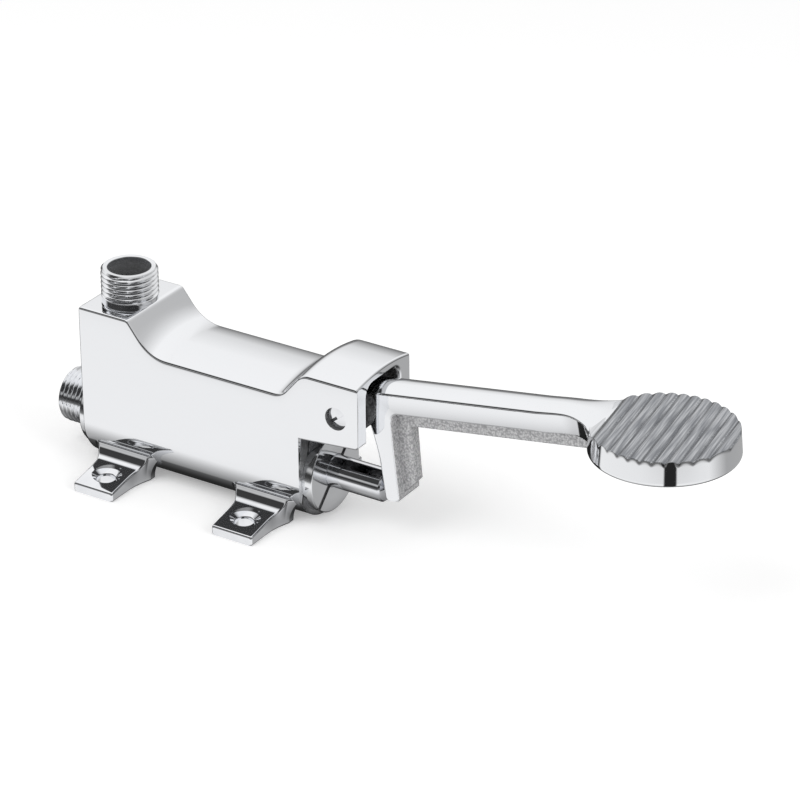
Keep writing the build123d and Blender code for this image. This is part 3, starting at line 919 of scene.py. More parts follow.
    def hood_part(self, x: Array, inset: Array, slot: Array, cap_gap: Array) -> Array:
        """Half sections with the hood's flat underside, shut or opened by the lever's slot.

        The slot's half width and ceiling grow towards its mouth by a quarter ellipse along the valve.

        Args:
            x: stations.
            inset: how far the outside is drawn in.
            slot: 1 where the section is open, else 0.
            cap_gap: how far the slot's edge is drawn back, for the row that ends the front face.

        Returns:
            Grid of half sections.
        """
        low = self.low(x) + inset
        mid, wall, foot = (self.counts[part] for part in ("mid", "wall", "foot"))
        flat, corner = mid // 2, self.slot_corner
        mouth = np.clip((x - self.hood_front_x + self.slot_flare_run) / self.slot_flare_run, 0, 1)
        flare = self.slot_flare * (1 - np.sqrt(1 - mouth**2))
        ceiling, side = self.slot_z + flare + cap_gap, self.slot_half + flare + cap_gap
        early, late = quarter(mid - flat)
        along = np.linspace(0, 1, flat, endpoint=False)
        down = np.linspace(0, 1, wall + 1)[1:]
        wall_z = ceiling - corner + (low - ceiling + corner) * down
        open_z = np.hstack([ceiling + 0 * along, ceiling - corner * early, wall_z])
        open_y = np.hstack([along * (side - corner), side - corner * late, side + 0 * down])
        shut_y = np.linspace(0, self.slot_half, mid + wall) + 0 * x
        y = np.where(slot > 0, open_y, shut_y)
        z = np.where(slot > 0, open_z, low + 0 * shut_y)
        outer = VALVE.half - inset - self.edge
        foot_y = y[:, -1:] + (outer - y[:, -1:]) * np.linspace(0, 1, foot + 1)[1:]
        early, late = quarter(self.counts["turn"], closed=False)
        up_y, up_z = self.upper(x, inset)
        all_y = np.hstack([y, foot_y, outer + self.edge * (1 - late), up_y])
        return grid_of(x, all_y, np.hstack([z, low + 0 * foot_y, low + self.edge * early, up_z]))

    def under(self) -> int:
        """How many points of a half section lie under the body or in the slot."""
        return sum(self.counts[part] for part in ("mid", "wall", "foot"))

    def skin(self) -> Array:
        """All half sections from rear to front, and their mirror images.

        Returns:
            The closed grid.
        """
        early, late = quarter(6)
        cap = self.edge + self.cap_inset
        before, after = self.tower_front_x - self.tower_close[0], self.tower_front_x + self.tower_close[1]
        run = steps(
            (VALVE.rear_x + cap, before, 8),
            (before, after, 14),
            (after, self.slope_close[0], 8),
            (*self.slope_close, 30),
            (self.slope_close[1], self.hood_close, 10),
            (self.hood_close, VALVE.front_x, 22),
        )
        main_x = np.concatenate([[VALVE.rear_x], VALVE.rear_x + self.edge * early, run])[:, None]
        main_inset = np.concatenate([[cap], self.edge * late, 0 * run])[:, None]
        neck_x = steps((VALVE.front_x, self.slot_rear_x, 10))[:, None]
        mouth_x = self.hood_front_x - self.slot_flare_run
        fork_x = steps((self.slot_rear_x, mouth_x, 8), (mouth_x, self.hood_front_x - self.edge, 10))
        early, late = early[1:], late[1:]
        open_x = np.concatenate([fork_x, self.hood_front_x - self.edge * late, [self.hood_front_x]])[:, None]
        open_inset = np.concatenate([0 * fork_x, self.edge * early, [cap]])[:, None]
        gap = np.concatenate([0 * fork_x, 0 * early, [self.cap_inset]])[:, None]
        half = np.vstack(
            [
                self.closed_part(main_x, main_inset),
                self.hood_part(neck_x, 0 * neck_x, 0 * neck_x, 0 * neck_x),
                self.hood_part(open_x, open_inset, 0 * open_x + 1, gap),
            ]
        )
        return np.hstack([half, half[:, -2:0:-1] * np.array([1.0, -1.0, 1.0])])

    def dull(self, grid: Array) -> Array:
        """How dull each point is, and so how dark its painted shade: 1 in the lever's slot and under the hood, 0
        where the skin is polished.

        Args:
            grid: the skin's grid.

        Returns:
            The mark of each point.
        """
        x, y = grid[..., 0], np.abs(grid[..., 1])
        column = np.arange(x.shape[1])
        inside = (np.minimum(column, x.shape[1] - column) <= self.under()) & (y < VALVE.half - 2 * self.edge)
        start, run = self.painted_shade_start
        depth = np.clip((self.hood_front_x - start - x) / run, 0, 1)
        return np.where(inside & (x > VALVE.front_x - TOUCH), depth, 0.0)

    def bores(self) -> list[bpy.types.Object]:
        """The water ways, as shapes to cut away.

        The riser is a round tube: each point is the way's point, plus the tube's radius times the cosine of its
        angle square to the way and times the sine across the valve.

        Returns:
            The cutting shapes.
        """
        rear_ring, front_ring, depth = self.recess
        profile = stepped(
            (VALVE.rear_x - PAST, VALVE.rear_x + depth, rear_ring),
            (VALVE.rear_x + depth, self.web_x[0], self.bore_r),
            (*self.web_x, self.web_r),
            (self.web_x[1], self.gland_x, self.chamber_r),
            (self.gland_x, VALVE.front_x - depth, self.bore_r),
            (VALVE.front_x - depth, VALVE.front_x + PAST, front_ring),
        )
        main = turned("main_bore", profile, Line.ALONG, VALVE.axis)
        start, end = self.riser_x, VALVE.outlet_x
        socket = stepped((self.socket[0], VALVE.tower_z + PAST, self.socket[1]))
        up = turned("socket", socket, Line.UPRIGHT, (end, 0.0, 0.0))
        radius, bend = self.riser_r
        level, top = self.riser_z
        corners = [(start, VALVE.axis[2], 0), (start, level, bend), (end, level, bend), (end, top, 0)]
        way = outline(corners, bend_steps=12)
        ahead = np.gradient(way, axis=0)
        ahead = radius * ahead / np.linalg.norm(ahead, axis=1)[:, None]
        angle = np.linspace(0, 2 * pi, 48, endpoint=False)
        out_x = way[:, :1] - ahead[:, 1:] * np.cos(angle)
        out_z = way[:, 1:] + ahead[:, :1] * np.cos(angle)
        passage = build("passage", Surface(grid_of(out_x, radius * np.sin(angle), out_z), capped=True))
        return [main, up, passage]

    def make(self, finisher: Finisher, screw: "PivotScrew") -> bpy.types.Object:
        """Build the body, bore it and dress it.

        Args:
            finisher: gives the finish.
            screw: the pivot screw, whose holes are cut.

        Returns:
            The piece.
        """
        grid = self.skin()
        # the slot and the hood's underside are left dull and painted dark as shade
        piece = build("body_casting", Surface(grid, capped=True, raw=self.dull(grid)))
        carve(piece, [*self.bores(), screw.hole()])
        # the pivot holes' walls are painted dark as shade
        mark(piece, screw.bored, self.bored_painted_shade)
        finisher.dress(piece, Finish.BODY, "body", ["valve_body"])
        return piece


@dataclass
class Lugs:
    """Four screw lugs under the body, each swept up into it, with a dished screw hole."""

    spacing: Pair = (60.6, 55.8)  # of the screw holes, along the valve and across it
    half: float = 8.6
    reach: float = 36.0
    root: float = 12.6
    edge_z: float = 3.5
    slope: float = 0.19  # rise of the top for each unit towards the body
    fillet: float = 6.0
    flare: Pair = (1.6, 1.8)  # growth at the floor, and how much more the top grows
    flare_y: float = 26.0
    root_y: float = 16.6
    flare_limit: float = 1.15  # share of the flare at which it stops to grow, inside the body
    edge: float = 0.7
    hole_r: float = 3.5
    dish_r: float = 5.8
    dish_z: float = 4.9
    dish_depth: float = 1.0
    dish_bend: float = 0.5
    close_y: Pair = (15.0, 21.5)  # close sections over the fillet
    cap_inset: float = 0.3
    end_fall: float = 0.8  # how far the top falls at the rounded end, for each unit that the end draws in
    cutter: Triple = (1.0, 6.0, 2.0)  # how far the hole's cutting shape goes below, above and out
    crease: float = 22.0

    def top(self, y: Array) -> Array:
        """Height of the top: an even slope, then a fillet up the body's round underside.

        The fillet is a circle that touches the slope and the body's circle. Its centre is at its own radius
        from the slope's line and at both radii from the body's axis, which a quadratic equation gives.

        Args:
            y: distance from the middle plane.

        Returns:
            The height.
        """
        slope, fillet, body = self.slope, self.fillet, VALVE.half
        lean = sqrt(1 + slope**2)
        above = self.edge_z + slope * self.reach + fillet * lean - body
        inside = (above * slope) ** 2 - lean**2 * (above**2 - (body + fillet) ** 2)
        centre = (above * slope + sqrt(inside)) / lean**2
        level = above - slope * centre + body
        low_y, high_y = centre * body / (body + fillet), centre - fillet * slope / lean
        arc = level - np.sqrt(np.maximum(fillet**2 - (centre - np.maximum(y, low_y)) ** 2, 0))
        return np.where(y < high_y, arc, self.edge_z + slope * (self.reach - y))

    def width(self, y: Array) -> tuple[Array, Array]:
        """Half widths of the sections, which grow towards the body by a square and, at the top, a sixth power.

        Args:
            y: distance from the middle plane.

        Returns:
            Half widths at the floor and at the top.
        """
        share = np.clip((self.flare_y - y) / (self.flare_y - self.root_y), 0, self.flare_limit)
        low = self.half + self.flare[0] * share**2
        return low, low + self.flare[1] * share**6

    def grid(self) -> Array:
        """Sections across one lug, carried from inside the body to the rounded outer end.

        Returns:
            The closed grid, about the lug's own middle.
        """
        early, late = quarter(6)
        start, stop = self.close_y
        run = steps((self.root, start, 3), (start, stop, 30), (stop, self.reach - self.edge, 14))
        y = np.concatenate([run, self.reach - self.edge * late[1:], [self.reach]])[:, None]
        inset = np.concatenate([0 * run, self.edge * early[1:], [self.edge + self.cap_inset]])[:, None]
        low, high = self.width(y)
        low, high, top = low - inset, high - inset, self.top(y) - inset * self.end_fall
        share = eased(14)
        flank_x = low + (high - low) * share**2
        flank_z = self.edge + (top - 2 * self.edge) * share
        right_x = np.hstack([low - self.edge * late, flank_x, high - self.edge * early])
        right_z = np.hstack([self.edge * early + 0 * y, flank_z, top - self.edge * late])
        turns = 1 - 2 * eased(16)[1:]
        across = (high - self.edge) * turns
        x = np.hstack([right_x, across, -right_x[:, ::-1], -(low - self.edge) * turns])
        z = np.hstack([right_z, top + 0 * across, right_z[:, ::-1], 0 * across])
        return grid_of(x, y, z)

    def hole(self, centre: Triple) -> bpy.types.Object:
        """The screw hole: straight below, then a shallow dish that opens upwards.

        Args:
            centre: middle of the hole at the floor.

        Returns:
            The shape to cut away.
        """
        below, above, out = self.cutter
        corners = [
            (-below, 0, 0),
            (-below, self.hole_r, 0),
            (self.dish_z - self.dish_depth, self.hole_r, self.dish_bend),
            (self.dish_z, self.dish_r, 0),
            (self.dish_z + above, self.dish_r + out, 0),
            (self.dish_z + above, 0, 0),
        ]
        return turned("screw_hole", outline(corners), Line.UPRIGHT, centre)

    def make(self, finisher: Finisher) -> None:
        """Build, drill and dress the four lugs.

        Args:
            finisher: gives the finish.
        """
        grid = self.grid()
        for end, side_x in (("rear", -1), ("front", 1)):
            for side, side_y in (("near", -1), ("far", 1)):
                x, y = side_x * self.spacing[0] / 2, side_y * self.spacing[1] / 2
                points = grid * np.array([1.0, side_y, 1.0]) + np.array([x, 0, 0])
                piece = build(f"lug_{side}_{end}", Surface(points, capped=True))
                carve(piece, [self.hole((x, y, 0.0))], self.crease)
                finisher.dress(piece, Finish.CHROME, "body")


# Pipe ends, gland, rod and screw


@dataclass
class PipeEnds:
    """Outlet nipple on the tower and inlet connector behind the body."""

    thread: PipeThread = PipeThread()
    major_r: float = 10.48
    outlet_top: float = 76.0
    outlet_bore: float = 7.9
    shank: Pair = (8.33, 9.0)  # radius and length
    passage_r: float = 6.0
    collar: Pair = (15.5, 3.5)  # radius and thickness
    inlet_length: float = 13.5
    inlet_bore: float = 7.5
    inlet_shank: Pair = (11.95, 10.0)  # radius and length
    chamfer: float = 0.9
    bore_chamfer: float = 1.2
    collar_gap: float = 1.3
    fade: float = 0.5  # run over which the thread fades in and out
    row: float = 0.15  # rows of the bore behind the rim that are painted dark as shade
    painted_shade_rows: int = 3  # rows of the bore behind the rim that are dull
    columns: int = 144
    rim_bend: float = 0.35
    foot_bend: float = 0.3
    collar_bends: Pair = (0.4, 0.8)  # by the body and by the thread
    thread_step: float = 0.05  # from the thread's crests out to where the collar's face starts
    seam: float = 0.01  # from the shoulder to the first point of the shank, which keeps the shoulder sharp

    def wall(self, start: float, end: float) -> tuple[Array, Array, Array]:
        """Outside of a thread from its shoulder to its free end.

        The largest radius falls by the chamfer over the last stretch, and the thread fades in past a plain
        ring at the shoulder.

        Args:
            start: place of the shoulder.
            end: place of the free end.

        Returns:
            Places, largest radius and share of the thread's depth.
        """
        length = abs(end - start)
        depth = np.linspace(0, length, int(length / self.row))
        radius = self.major_r - np.clip(depth - length + self.chamfer, 0, None)
        fade_in = np.clip((depth - self.collar_gap) / self.fade, 0, 1)
        relief = fade_in * np.sqrt(np.clip((length - depth) / self.fade, 0, 1))
        return start + np.sign(end - start) * depth, radius, relief

    def end(
        self, name: str, shoulder: float, inner: Sequence[Triple], lead: int, line: Line, centre: Triple
    ) -> bpy.types.Object:
        """One pipe end: a threaded outside and a plain inside, turned as one ring.

        On the thread, the radius is the major radius less the groove, or the chamfer's radius where that is less.

        Args:
            name: name of the piece.
            shoulder: place of the thread's shoulder.
            inner: corners of the rest of the section, from the free end on.
            lead: rows of the rim between the thread and the bore painted dark as shade.
            line: direction of the axis.
            centre: a point on the axis.

        Returns:
            The piece.
        """
        run, radius, relief = self.wall(shoulder, inner[0][0])
        groove = self.thread.cut(run, self.columns) * relief[:, None]
        outside = np.minimum(self.major_r - groove, radius[:, None])
        rest = outline(inner)
        whole = np.vstack([outside, np.repeat(rest[:, 1:], self.columns, axis=1)])
        points = lathe(np.concatenate([run, rest[:, 0]]), whole, line, centre, self.columns)
        row = np.arange(len(points)) - len(run) - lead
        # the bore behind the rim is left unplated and painted dark as shade
        dull = ((row >= 0) & (row < self.painted_shade_rows)).astype(float)[:, None]
        return build(name, Surface(points, ring_rows=True, raw=dull))

    def outlet(self, finisher: Finisher) -> None:
        """Build and dress the outlet nipple.

        Args:
            finisher: gives the finish.
        """
        low, high = VALVE.tower_z, self.outlet_top
        foot = low - self.shank[1]
        inner = [
            (high, self.major_r - self.chamfer, 0),
            (high, self.outlet_bore, self.rim_bend),
            (low, self.outlet_bore, 0),
            (low - (self.outlet_bore - self.passage_r), self.passage_r, 0),
            (foot, self.passage_r, 0),
            (foot, self.shank[0], self.foot_bend),
            (low - self.seam, self.shank[0], 0),
            (low, self.shank[0], 0),
        ]
        piece = self.end("outlet_pipe_end", low, inner, 7, Line.UPRIGHT, (VALVE.outlet_x, 0.0, 0.0))
        finisher.dress(piece, Finish.BORED, "body", ["outlet_nipple"])

    def inlet(self, finisher: Finisher) -> None:
        """Build and dress the inlet connector with its round collar.

        Args:
            finisher: gives the finish.
        """
        face = VALVE.rear_x - self.collar[1]
        end, foot = face - self.inlet_length, VALVE.rear_x + self.inlet_shank[1]
        inner = [
            (end, self.major_r - self.chamfer, 0),
            (end, self.inlet_bore + self.bore_chamfer, 0),
            (end + self.bore_chamfer, self.inlet_bore, 0),
            (foot, self.inlet_bore, 0),
            (foot, self.inlet_shank[0], self.foot_bend),
            (VALVE.rear_x, self.inlet_shank[0], 0),
            (VALVE.rear_x, self.collar[0], self.collar_bends[0]),
            (face, self.collar[0], self.collar_bends[1]),
            (face, self.major_r + self.thread_step, 0),
        ]
        piece = self.end("inlet_pipe_end", face, inner, 2, Line.ALONG, VALVE.axis)
        finisher.dress(piece, Finish.BORED, "body", ["inlet_connector"])


@dataclass
class Gland:
    """Gland plug in front of the body: bored shank and slotted flange."""

    flange: Pair = (15.7, 4.0)  # radius and thickness
    shank: Pair = (11.95, 18.0)  # radius and length
    bore: float = 6.05
    ring_r: float = 7.9
    ring_half: float = 0.95
    ring_x: Pair = (35.9, 40.9)  # middles of the two O-ring grooves
    slot: Triple = (2.0, 1.4, 45.0)  # width, depth and turn in degrees
    bore_bend: float = 0.35
    flange_bends: Pair = (0.6, 0.25)  # front and rear
    shank_bend: float = 0.4
    columns: int = 144

    def make(self, finisher: Finisher) -> None:
        """Turn the plug, cut its driver slot and dress it.

        Args:
            finisher: gives the finish.
        """
        face = VALVE.front_x + self.flange[1]
        rear = VALVE.front_x - self.shank[1]
        grooves = [
            (x + side * self.ring_half, radius, 0)
            for x in self.ring_x
            for side, radius in ((-1, self.bore), (-1, self.ring_r), (1, self.ring_r), (1, self.bore))
        ]
        corners = [
            (face, self.bore, self.bore_bend),
            (face, self.flange[0], self.flange_bends[0]),
            (VALVE.front_x, self.flange[0], self.flange_bends[1]),
            (VALVE.front_x, self.shank[0], 0),
            (rear, self.shank[0], self.shank_bend),
            (rear, self.bore, 0),
            *grooves,
        ]
        profile = outline(corners, closed=True)
        piece = turned("gland", profile, Line.ALONG, VALVE.axis, self.columns, ring=True, raw=0.0)
        width, depth, angle = self.slot
        reach = 2 * self.flange[0]
        turn = Matrix.Rotation(radians(angle), 3, "X")
        low, high = (-depth, -reach, -width / 2), (PAST, reach, width / 2)
        carve(piece, [bar("gland_slot", low, high, turn, (face, *VALVE.axis[1:]))])
        # the slot's floor is painted dark as shade
        mark(piece, lambda x, y, z: np.abs(x - face + depth) < TOUCH)
        finisher.dress(piece, Finish.BORED, "body", ["gland_plug"])


@dataclass
class PushRod:
    """Push rod: tail in the valve disc, thin stem, full-size shaft and domed tip."""

    tail: Pair = (-25.6, 2.5)  # start and radius, as for the stem and the shaft
    stem: Pair = (-14.9, 3.0)
    shaft: Pair = (25.9, 6.0)
    tip_x: float = 73.34
    dome_r: float = 30.0
    edge: float = 0.6
    cone: float = 3.0  # length of the step from the stem to the shaft
    bends: Triple = (0.4, 0.3, 0.2)  # roundings of the tail's end, of the steps and of the tip
    columns: int = 128
    crease: float = 25.0

    def make(self, finisher: Finisher) -> None:
        """Turn the rod, whose tip is part of a ball, and dress it.

        On the tip, the run is the ball's centre plus the root of its radius squared less the distance from the
        axis squared.

        Args:
            finisher: gives the finish.
        """
        flat = self.shaft[1] - self.edge
        ball_x = self.tip_x - self.dome_r
        tail_bend, step_bend, tip_bend = self.bends
        radius = np.linspace(flat, 0, 14)
        dome = np.stack([ball_x + np.sqrt(self.dome_r**2 - radius**2), radius], axis=-1)
        shank = outline(
            [
                (self.tail[0], 0, 0),
                (self.tail[0], self.tail[1], tail_bend),
                (self.stem[0], self.tail[1], 0),
                (self.stem[0], self.stem[1], step_bend),
                (self.shaft[0], self.stem[1], 0),
                (self.shaft[0] + self.cone, self.shaft[1], step_bend),
                (dome[0, 0] - self.edge, self.shaft[1], tip_bend),
                (dome[0, 0], flat, tip_bend),
            ]
        )
        profile = np.vstack([shank, dome[1:]])
        piece = turned("rod", profile, Line.ALONG, VALVE.axis, self.columns, self.crease)
        finisher.dress(piece, Finish.CHROME, "rod", ["push_rod"])


@dataclass
class PivotScrew:
    """Slotted screw that the lever turns on."""

    head: Pair = (4.2, 2.9)  # radius and depth
    sunk: float = 1.7  # depth of the head's face in the cheek
    pin_r: float = 3.0
    end_y: float = 14.6
    slot: Triple = (1.1, 1.2, 38.0)  # width, depth and turn in degrees
    gap: float = 0.12  # between the screw and its hole
    head_edge: float = 0.35
    pin_bend: float = 0.3
    row: Pair = (0.3, 1.0)  # where the head's side has a row more: inside the cheek, and behind the head's face
    wall: float = 0.1  # how far inside the casting's sides a bored point lies at least

    def profile(self, gap: float, out: float) -> Array:
        """Head and pin as runs across the valve and radii.

        Args:
            gap: how much larger than the screw.
            out: how far past the head it runs.

        Returns:
            The turned profile, from the near end to the far end.
        """
        face = self.sunk - VALVE.half
        foot = face + self.head[1]
        head, pin, end = self.head[0] + gap, self.pin_r + gap, self.end_y + gap
        return outline(
            [
                (face - out, 0, 0),
                (face - out, head, 0 if out else self.head_edge),
                (self.row[0] - VALVE.half if out else face + self.row[1], head, 0),
                (foot, head, 0),
                (foot, pin, 0),
                (end, pin, self.pin_bend),
                (end, 0, 0),
            ]
        )

    def hole(self) -> bpy.types.Object:
        """The screw's own hole through both cheeks."""
        profile = self.profile(self.gap, self.sunk + PAST)
        return turned("pivot_hole", profile, Line.ACROSS, VALVE.pivot)

    def bored(self, x: Array, y: Array, z: Array) -> Array:
        """Whether points lie on the pivot holes' walls, inside the casting's polished sides, where shade is
        painted.
        """
        reach = np.hypot(x - VALVE.pivot[0], z - VALVE.pivot[2])
        return (reach < self.head[0] + 2 * self.gap) & (np.abs(y) < VALVE.half - self.wall)

    def make(self, finisher: Finisher) -> None:
        """Turn the screw, cut its slot and dress it.

        Args:
            finisher: gives the finish.
        """
        piece = turned("screw", self.profile(0.0, 0.0), Line.ACROSS, VALVE.pivot)
        width, depth, angle = self.slot
        reach = 2 * self.head[0]
        turn = Matrix.Rotation(-radians(angle), 3, "Y")
        low, high = (-reach, -PAST, -width / 2), (reach, depth, width / 2)
        centre = (VALVE.pivot[0], self.sunk - VALVE.half, VALVE.pivot[2])
        carve(piece, [bar("screw_slot", low, high, turn, centre)])
        finisher.dress(piece, Finish.CHROME, "body", ["pivot_screw"])


# Pedal lever


@dataclass
class Lever:
    """Pedal lever: L-shaped skin with leg and arm, hub, rib inside the bend, and ridged pad."""

    tilt: float = 9.0  # of the arm, in degrees
    half: float = 7.0
    crown: float = 2.4
    edge: float = 0.5
    roll: float = 0.35
    inner_edge: float = 0.5
    hub_r: float = 8.8
    hub_half: float = 9.55
    hub_bends: Pair = (0.3, 0.8)  # by the bush and outside
    bush_r: float = 4.6
    bush_reach: float = 12.0  # half length of the shape that cuts the bush's bore
    arm_low: float = -1.0  # level of the skin's inner face on the arm
    leg_rear: float = 8.6
    leg_sweep: float = 3.1
    leg_sweep_run: float = 20.0
    leg_front: Pair = (6.9, 5.6)  # depth of the leg's sides at the top and at the foot
    leg_length: float = 34.8
    foot_r: float = 1.4
    leg_top: float = -4.5  # level at which the leg's sections give way to the bend's
    foot_draw: float = 0.6  # how far the inner face follows the foot's rounding
    foot_gap: float = 0.5  # from the foot's rounding to the leg's first even row
    inner_bend: float = 3.5
    outer_bend: float = 5.0
    raw_columns: int = 13  # columns of the skin, from its inner face's middle, that are left as cast
    pad_centre: Pair = (182.3, 71.5)  # place along the valve, and height of the ridges' crests
    pad_r: float = 25.3
    pad_draft: float = 0.7
    pad_thickness: float = 9.3
    pad_tilt: float = 0.6  # degrees
    pad_rim: float = 0.25
    pad_edge: float = 0.85
    pad_columns: int = 420
    pad_rows: int = 112
    ridge: Triple = (4.1, 0.9, 9.0)  # pitch, height and turn in degrees
    ridge_fade: Triple = (1.5, 6.0, 0.25)  # where the ridges start, over what run, and the drop before them
    ridge_power: float = 0.85
    ridge_rim: float = 0.6  # share of the rim's rounding that is ridged too
    neck_r: float = 15.0
    neck_blend: float = 10.0
    neck_end: float = 4.5
    neck_sink: Triple = (0.8, 0.1, 0.6)  # under the pad: inner face and top, and how much the top still sinks
    side_sink: float = 0.4
    rib_half: float = 2.5
    rib_edge: float = 0.7
    rib_sunk: Triple = (0.8, 1.6, 0.4)  # inside the skin: the rib's toe, its leg line and its arm line
    rib_toe: Pair = (0.6, -1.4)  # the leg line's low end over the foot, and its top
    rib_low: float = -7.1
    rib_stand: float = 5.0
    rib_bend: float = 1.6
    rib_chamfer: float = 5.0
    skin_crease: float = 40.0
    rib_crease: float = 50.0
    pad_crease: float = 50.0

    def placed(self, reach: Array, side: Array, level: Array) -> Array:
        """Points of the lever's own frame in the valve's: turned by the tilt about the pivot.

        Args:
            reach: along the arm.
            side: across it.
            level: square to both.

        Returns:
            The points.
        """
        lean = radians(self.tilt)
        x = VALVE.pivot[0] + reach * cos(lean) - level * sin(lean)
        return grid_of(x, side, VALVE.pivot[2] + reach * sin(lean) + level * cos(lean))

    def local(self, x: float, z: float) -> Pair:
        """Place of a point of the middle plane in the lever's own frame.

        Args:
            x: place along the valve.
            z: height.

        Returns:
            Reach and level.
        """
        lean = radians(self.tilt)
        dx, dz = x - VALVE.pivot[0], z - VALVE.pivot[2]
        return dx * cos(lean) + dz * sin(lean), dz * cos(lean) - dx * sin(lean)

    def pad_level(self, reach: Array, depth: float) -> Array:
        """Level of a plane that lies a depth under the pad's crests."""
        centre = self.local(self.pad_centre[0], self.pad_centre[1] - depth)
        return centre[1] + (reach - centre[0]) * tan(radians(self.pad_tilt - self.tilt))

    def leg_back(self, level: Level) -> Level:
        """Reach of the leg's rear side edges: swept back near the hub by a power of one and a half."""
        share = np.clip(1 + level / self.leg_sweep_run, 0, 1)
        return self.leg_rear - self.leg_sweep * share**1.5

    def leg_lines(self) -> tuple[Array, Array]:
        """Inner line and side line of the leg, from its rounded foot up to the bend.

        Returns:
            The two lines, as pairs of reach and level.
        """
        early, late = quarter(6)
        foot_level = self.foot_r - self.leg_length
        rise = steps((foot_level + self.foot_gap, self.leg_top, 40))
        level = np.concatenate([self.foot_r * early - self.leg_length, rise])
        foot = np.concatenate([self.foot_r * late, 0 * rise])
        top, low = self.leg_front
        front = self.leg_rear + top + (low - top) * np.clip(-level / self.leg_length, 0, 1)
        inner = np.stack([front - self.foot_draw * foot, level], axis=-1)
        return inner, np.stack([self.leg_back(level) + foot, level], axis=-1)

    def skin_lines(self) -> tuple[Array, Array, Array, Array, Array]:
        """Inner line and side line of the L-shaped skin, its outward direction, half width and crown.

        Both lines run up the leg, round the bend on circular arcs and along the arm into the pad. On the neck,
        the half width grows on a circular arc and the levels pass over to the pad's by a smooth step.

        Returns:
            Inner line, side line, direction, half width and crown, one row each.
        """
        leg_inner, leg_side = self.leg_lines()
        swing = np.linspace(0, pi / 2, 18)[1:-1, None]
        way = np.hstack([-np.cos(swing), np.sin(swing)])
        side_level = self.hub_r - self.crown
        side_r = self.outer_bend - self.crown
        inner_start = self.leg_rear + self.leg_front[0] + self.inner_bend
        side_start = self.leg_back(0.0) + side_r
        bend_inner = (inner_start, self.arm_low - self.inner_bend) + self.inner_bend * way
        bend_side = (side_start, side_level - side_r) + side_r * way
        pad_reach = self.local(*self.pad_centre)[0]
        neck_run = sqrt((self.pad_r + self.neck_r) ** 2 - (self.half + self.neck_r) ** 2)
        neck_reach = pad_reach - neck_run
        neck_length = neck_run * self.neck_r / (self.pad_r + self.neck_r)
        end = neck_reach + neck_length + self.neck_end
        share = np.linspace(0, 1, 71)
        inner_reach = inner_start + (end - inner_start) * share
        side_reach = side_start + (end - side_start) * share
        blend = (inner_reach - neck_reach + self.neck_blend) / (neck_length + self.neck_blend)
        blend = smooth(np.clip(blend, 0, 1))
        inner_sink, top_sink, last_sink = self.neck_sink
        sink = last_sink * np.clip((side_reach - end + self.neck_end) / self.neck_end, 0, 1) ** 2

        def passed(level: float, reach: Array, depth: Level) -> Array:
            """The arm's level passed over to a depth under the pad's crests."""
            return level + blend * (self.pad_level(reach, depth) - level)

        low = passed(self.arm_low, inner_reach, self.pad_thickness - inner_sink)
        high = passed(side_level, side_reach, self.ridge[1] + self.side_sink + sink)
        top = passed(self.hub_r, side_reach, self.ridge[1] - top_sink + sink)
        swell = np.clip(inner_reach - neck_reach, 0, neck_length)
        widen = self.neck_r - np.sqrt(self.neck_r**2 - swell**2)
        inner = np.vstack([leg_inner, bend_inner, np.stack([inner_reach, low], axis=-1)])
        side = np.vstack([leg_side, bend_side, np.stack([side_reach, high], axis=-1)])
        legs, bends, arms = len(leg_inner), len(way), len(share)
        out = np.vstack([np.tile([-1.0, 0.0], (legs, 1)), way, np.tile([0.0, 1.0], (arms, 1))])
        half = np.concatenate([np.full(legs + bends, self.half), self.half + widen])
        crown = np.concatenate([np.full(legs + bends, self.crown), top - high])
        return inner, side, out, half, crown

    def skin(self) -> tuple[Array, Array]:
        """The L-shaped skin: flat inner face, straight sides, rounded edges and crowned outside.

        The side is straight between the inner line and the side line, and draws in by the roll times the cube of
        its share left to go. Outside, the rise over the side line is the crown times one less the square of the
        distance from the middle over the half width, less a quarter circle at the edge.

        Returns:
            The grid and the raw mark of each column.
        """
        inner, side, out, half, crown = self.skin_lines()
        half, crown = half[:, None], crown[:, None]
        early, late = quarter(8)
        face_y = (half - self.inner_edge) * np.linspace(0, 1, 8, endpoint=False)
        top_y = (half - self.edge) * np.linspace(1, 0, 19)[1:]
        outer_y = np.hstack([half - self.edge * early, top_y])
        drop = np.hstack([self.edge * late + 0 * half, 0 * top_y])
        rise = crown * (1 - (outer_y / half) ** 2) - drop
        across = side - inner
        length = np.linalg.norm(across, axis=1)[:, None]
        start, stop = self.inner_edge / length, 1 - self.edge / length
        share = start + (stop - start) * eased(16)[1:]
        along = np.hstack([0 * face_y, self.inner_edge * early / length, share])
        flat = inner[:, None] + across[:, None] * along[..., None]
        plane = np.hstack([flat, side[:, None] + out[:, None] * rise[..., None]])
        lip_y = half - self.inner_edge * late - self.roll
        y = np.hstack([face_y, lip_y, half - self.roll * (1 - share) ** 3, outer_y])
        raw = (np.arange(y.shape[1]) < self.raw_columns).astype(float)
        plane = np.hstack([plane, plane[:, -2:0:-1]])
        y = np.hstack([y, -y[:, -2:0:-1]])
        raw = np.concatenate([raw, raw[-2:0:-1]])
        return self.placed(plane[..., 0], y, plane[..., 1]), raw[None, :]

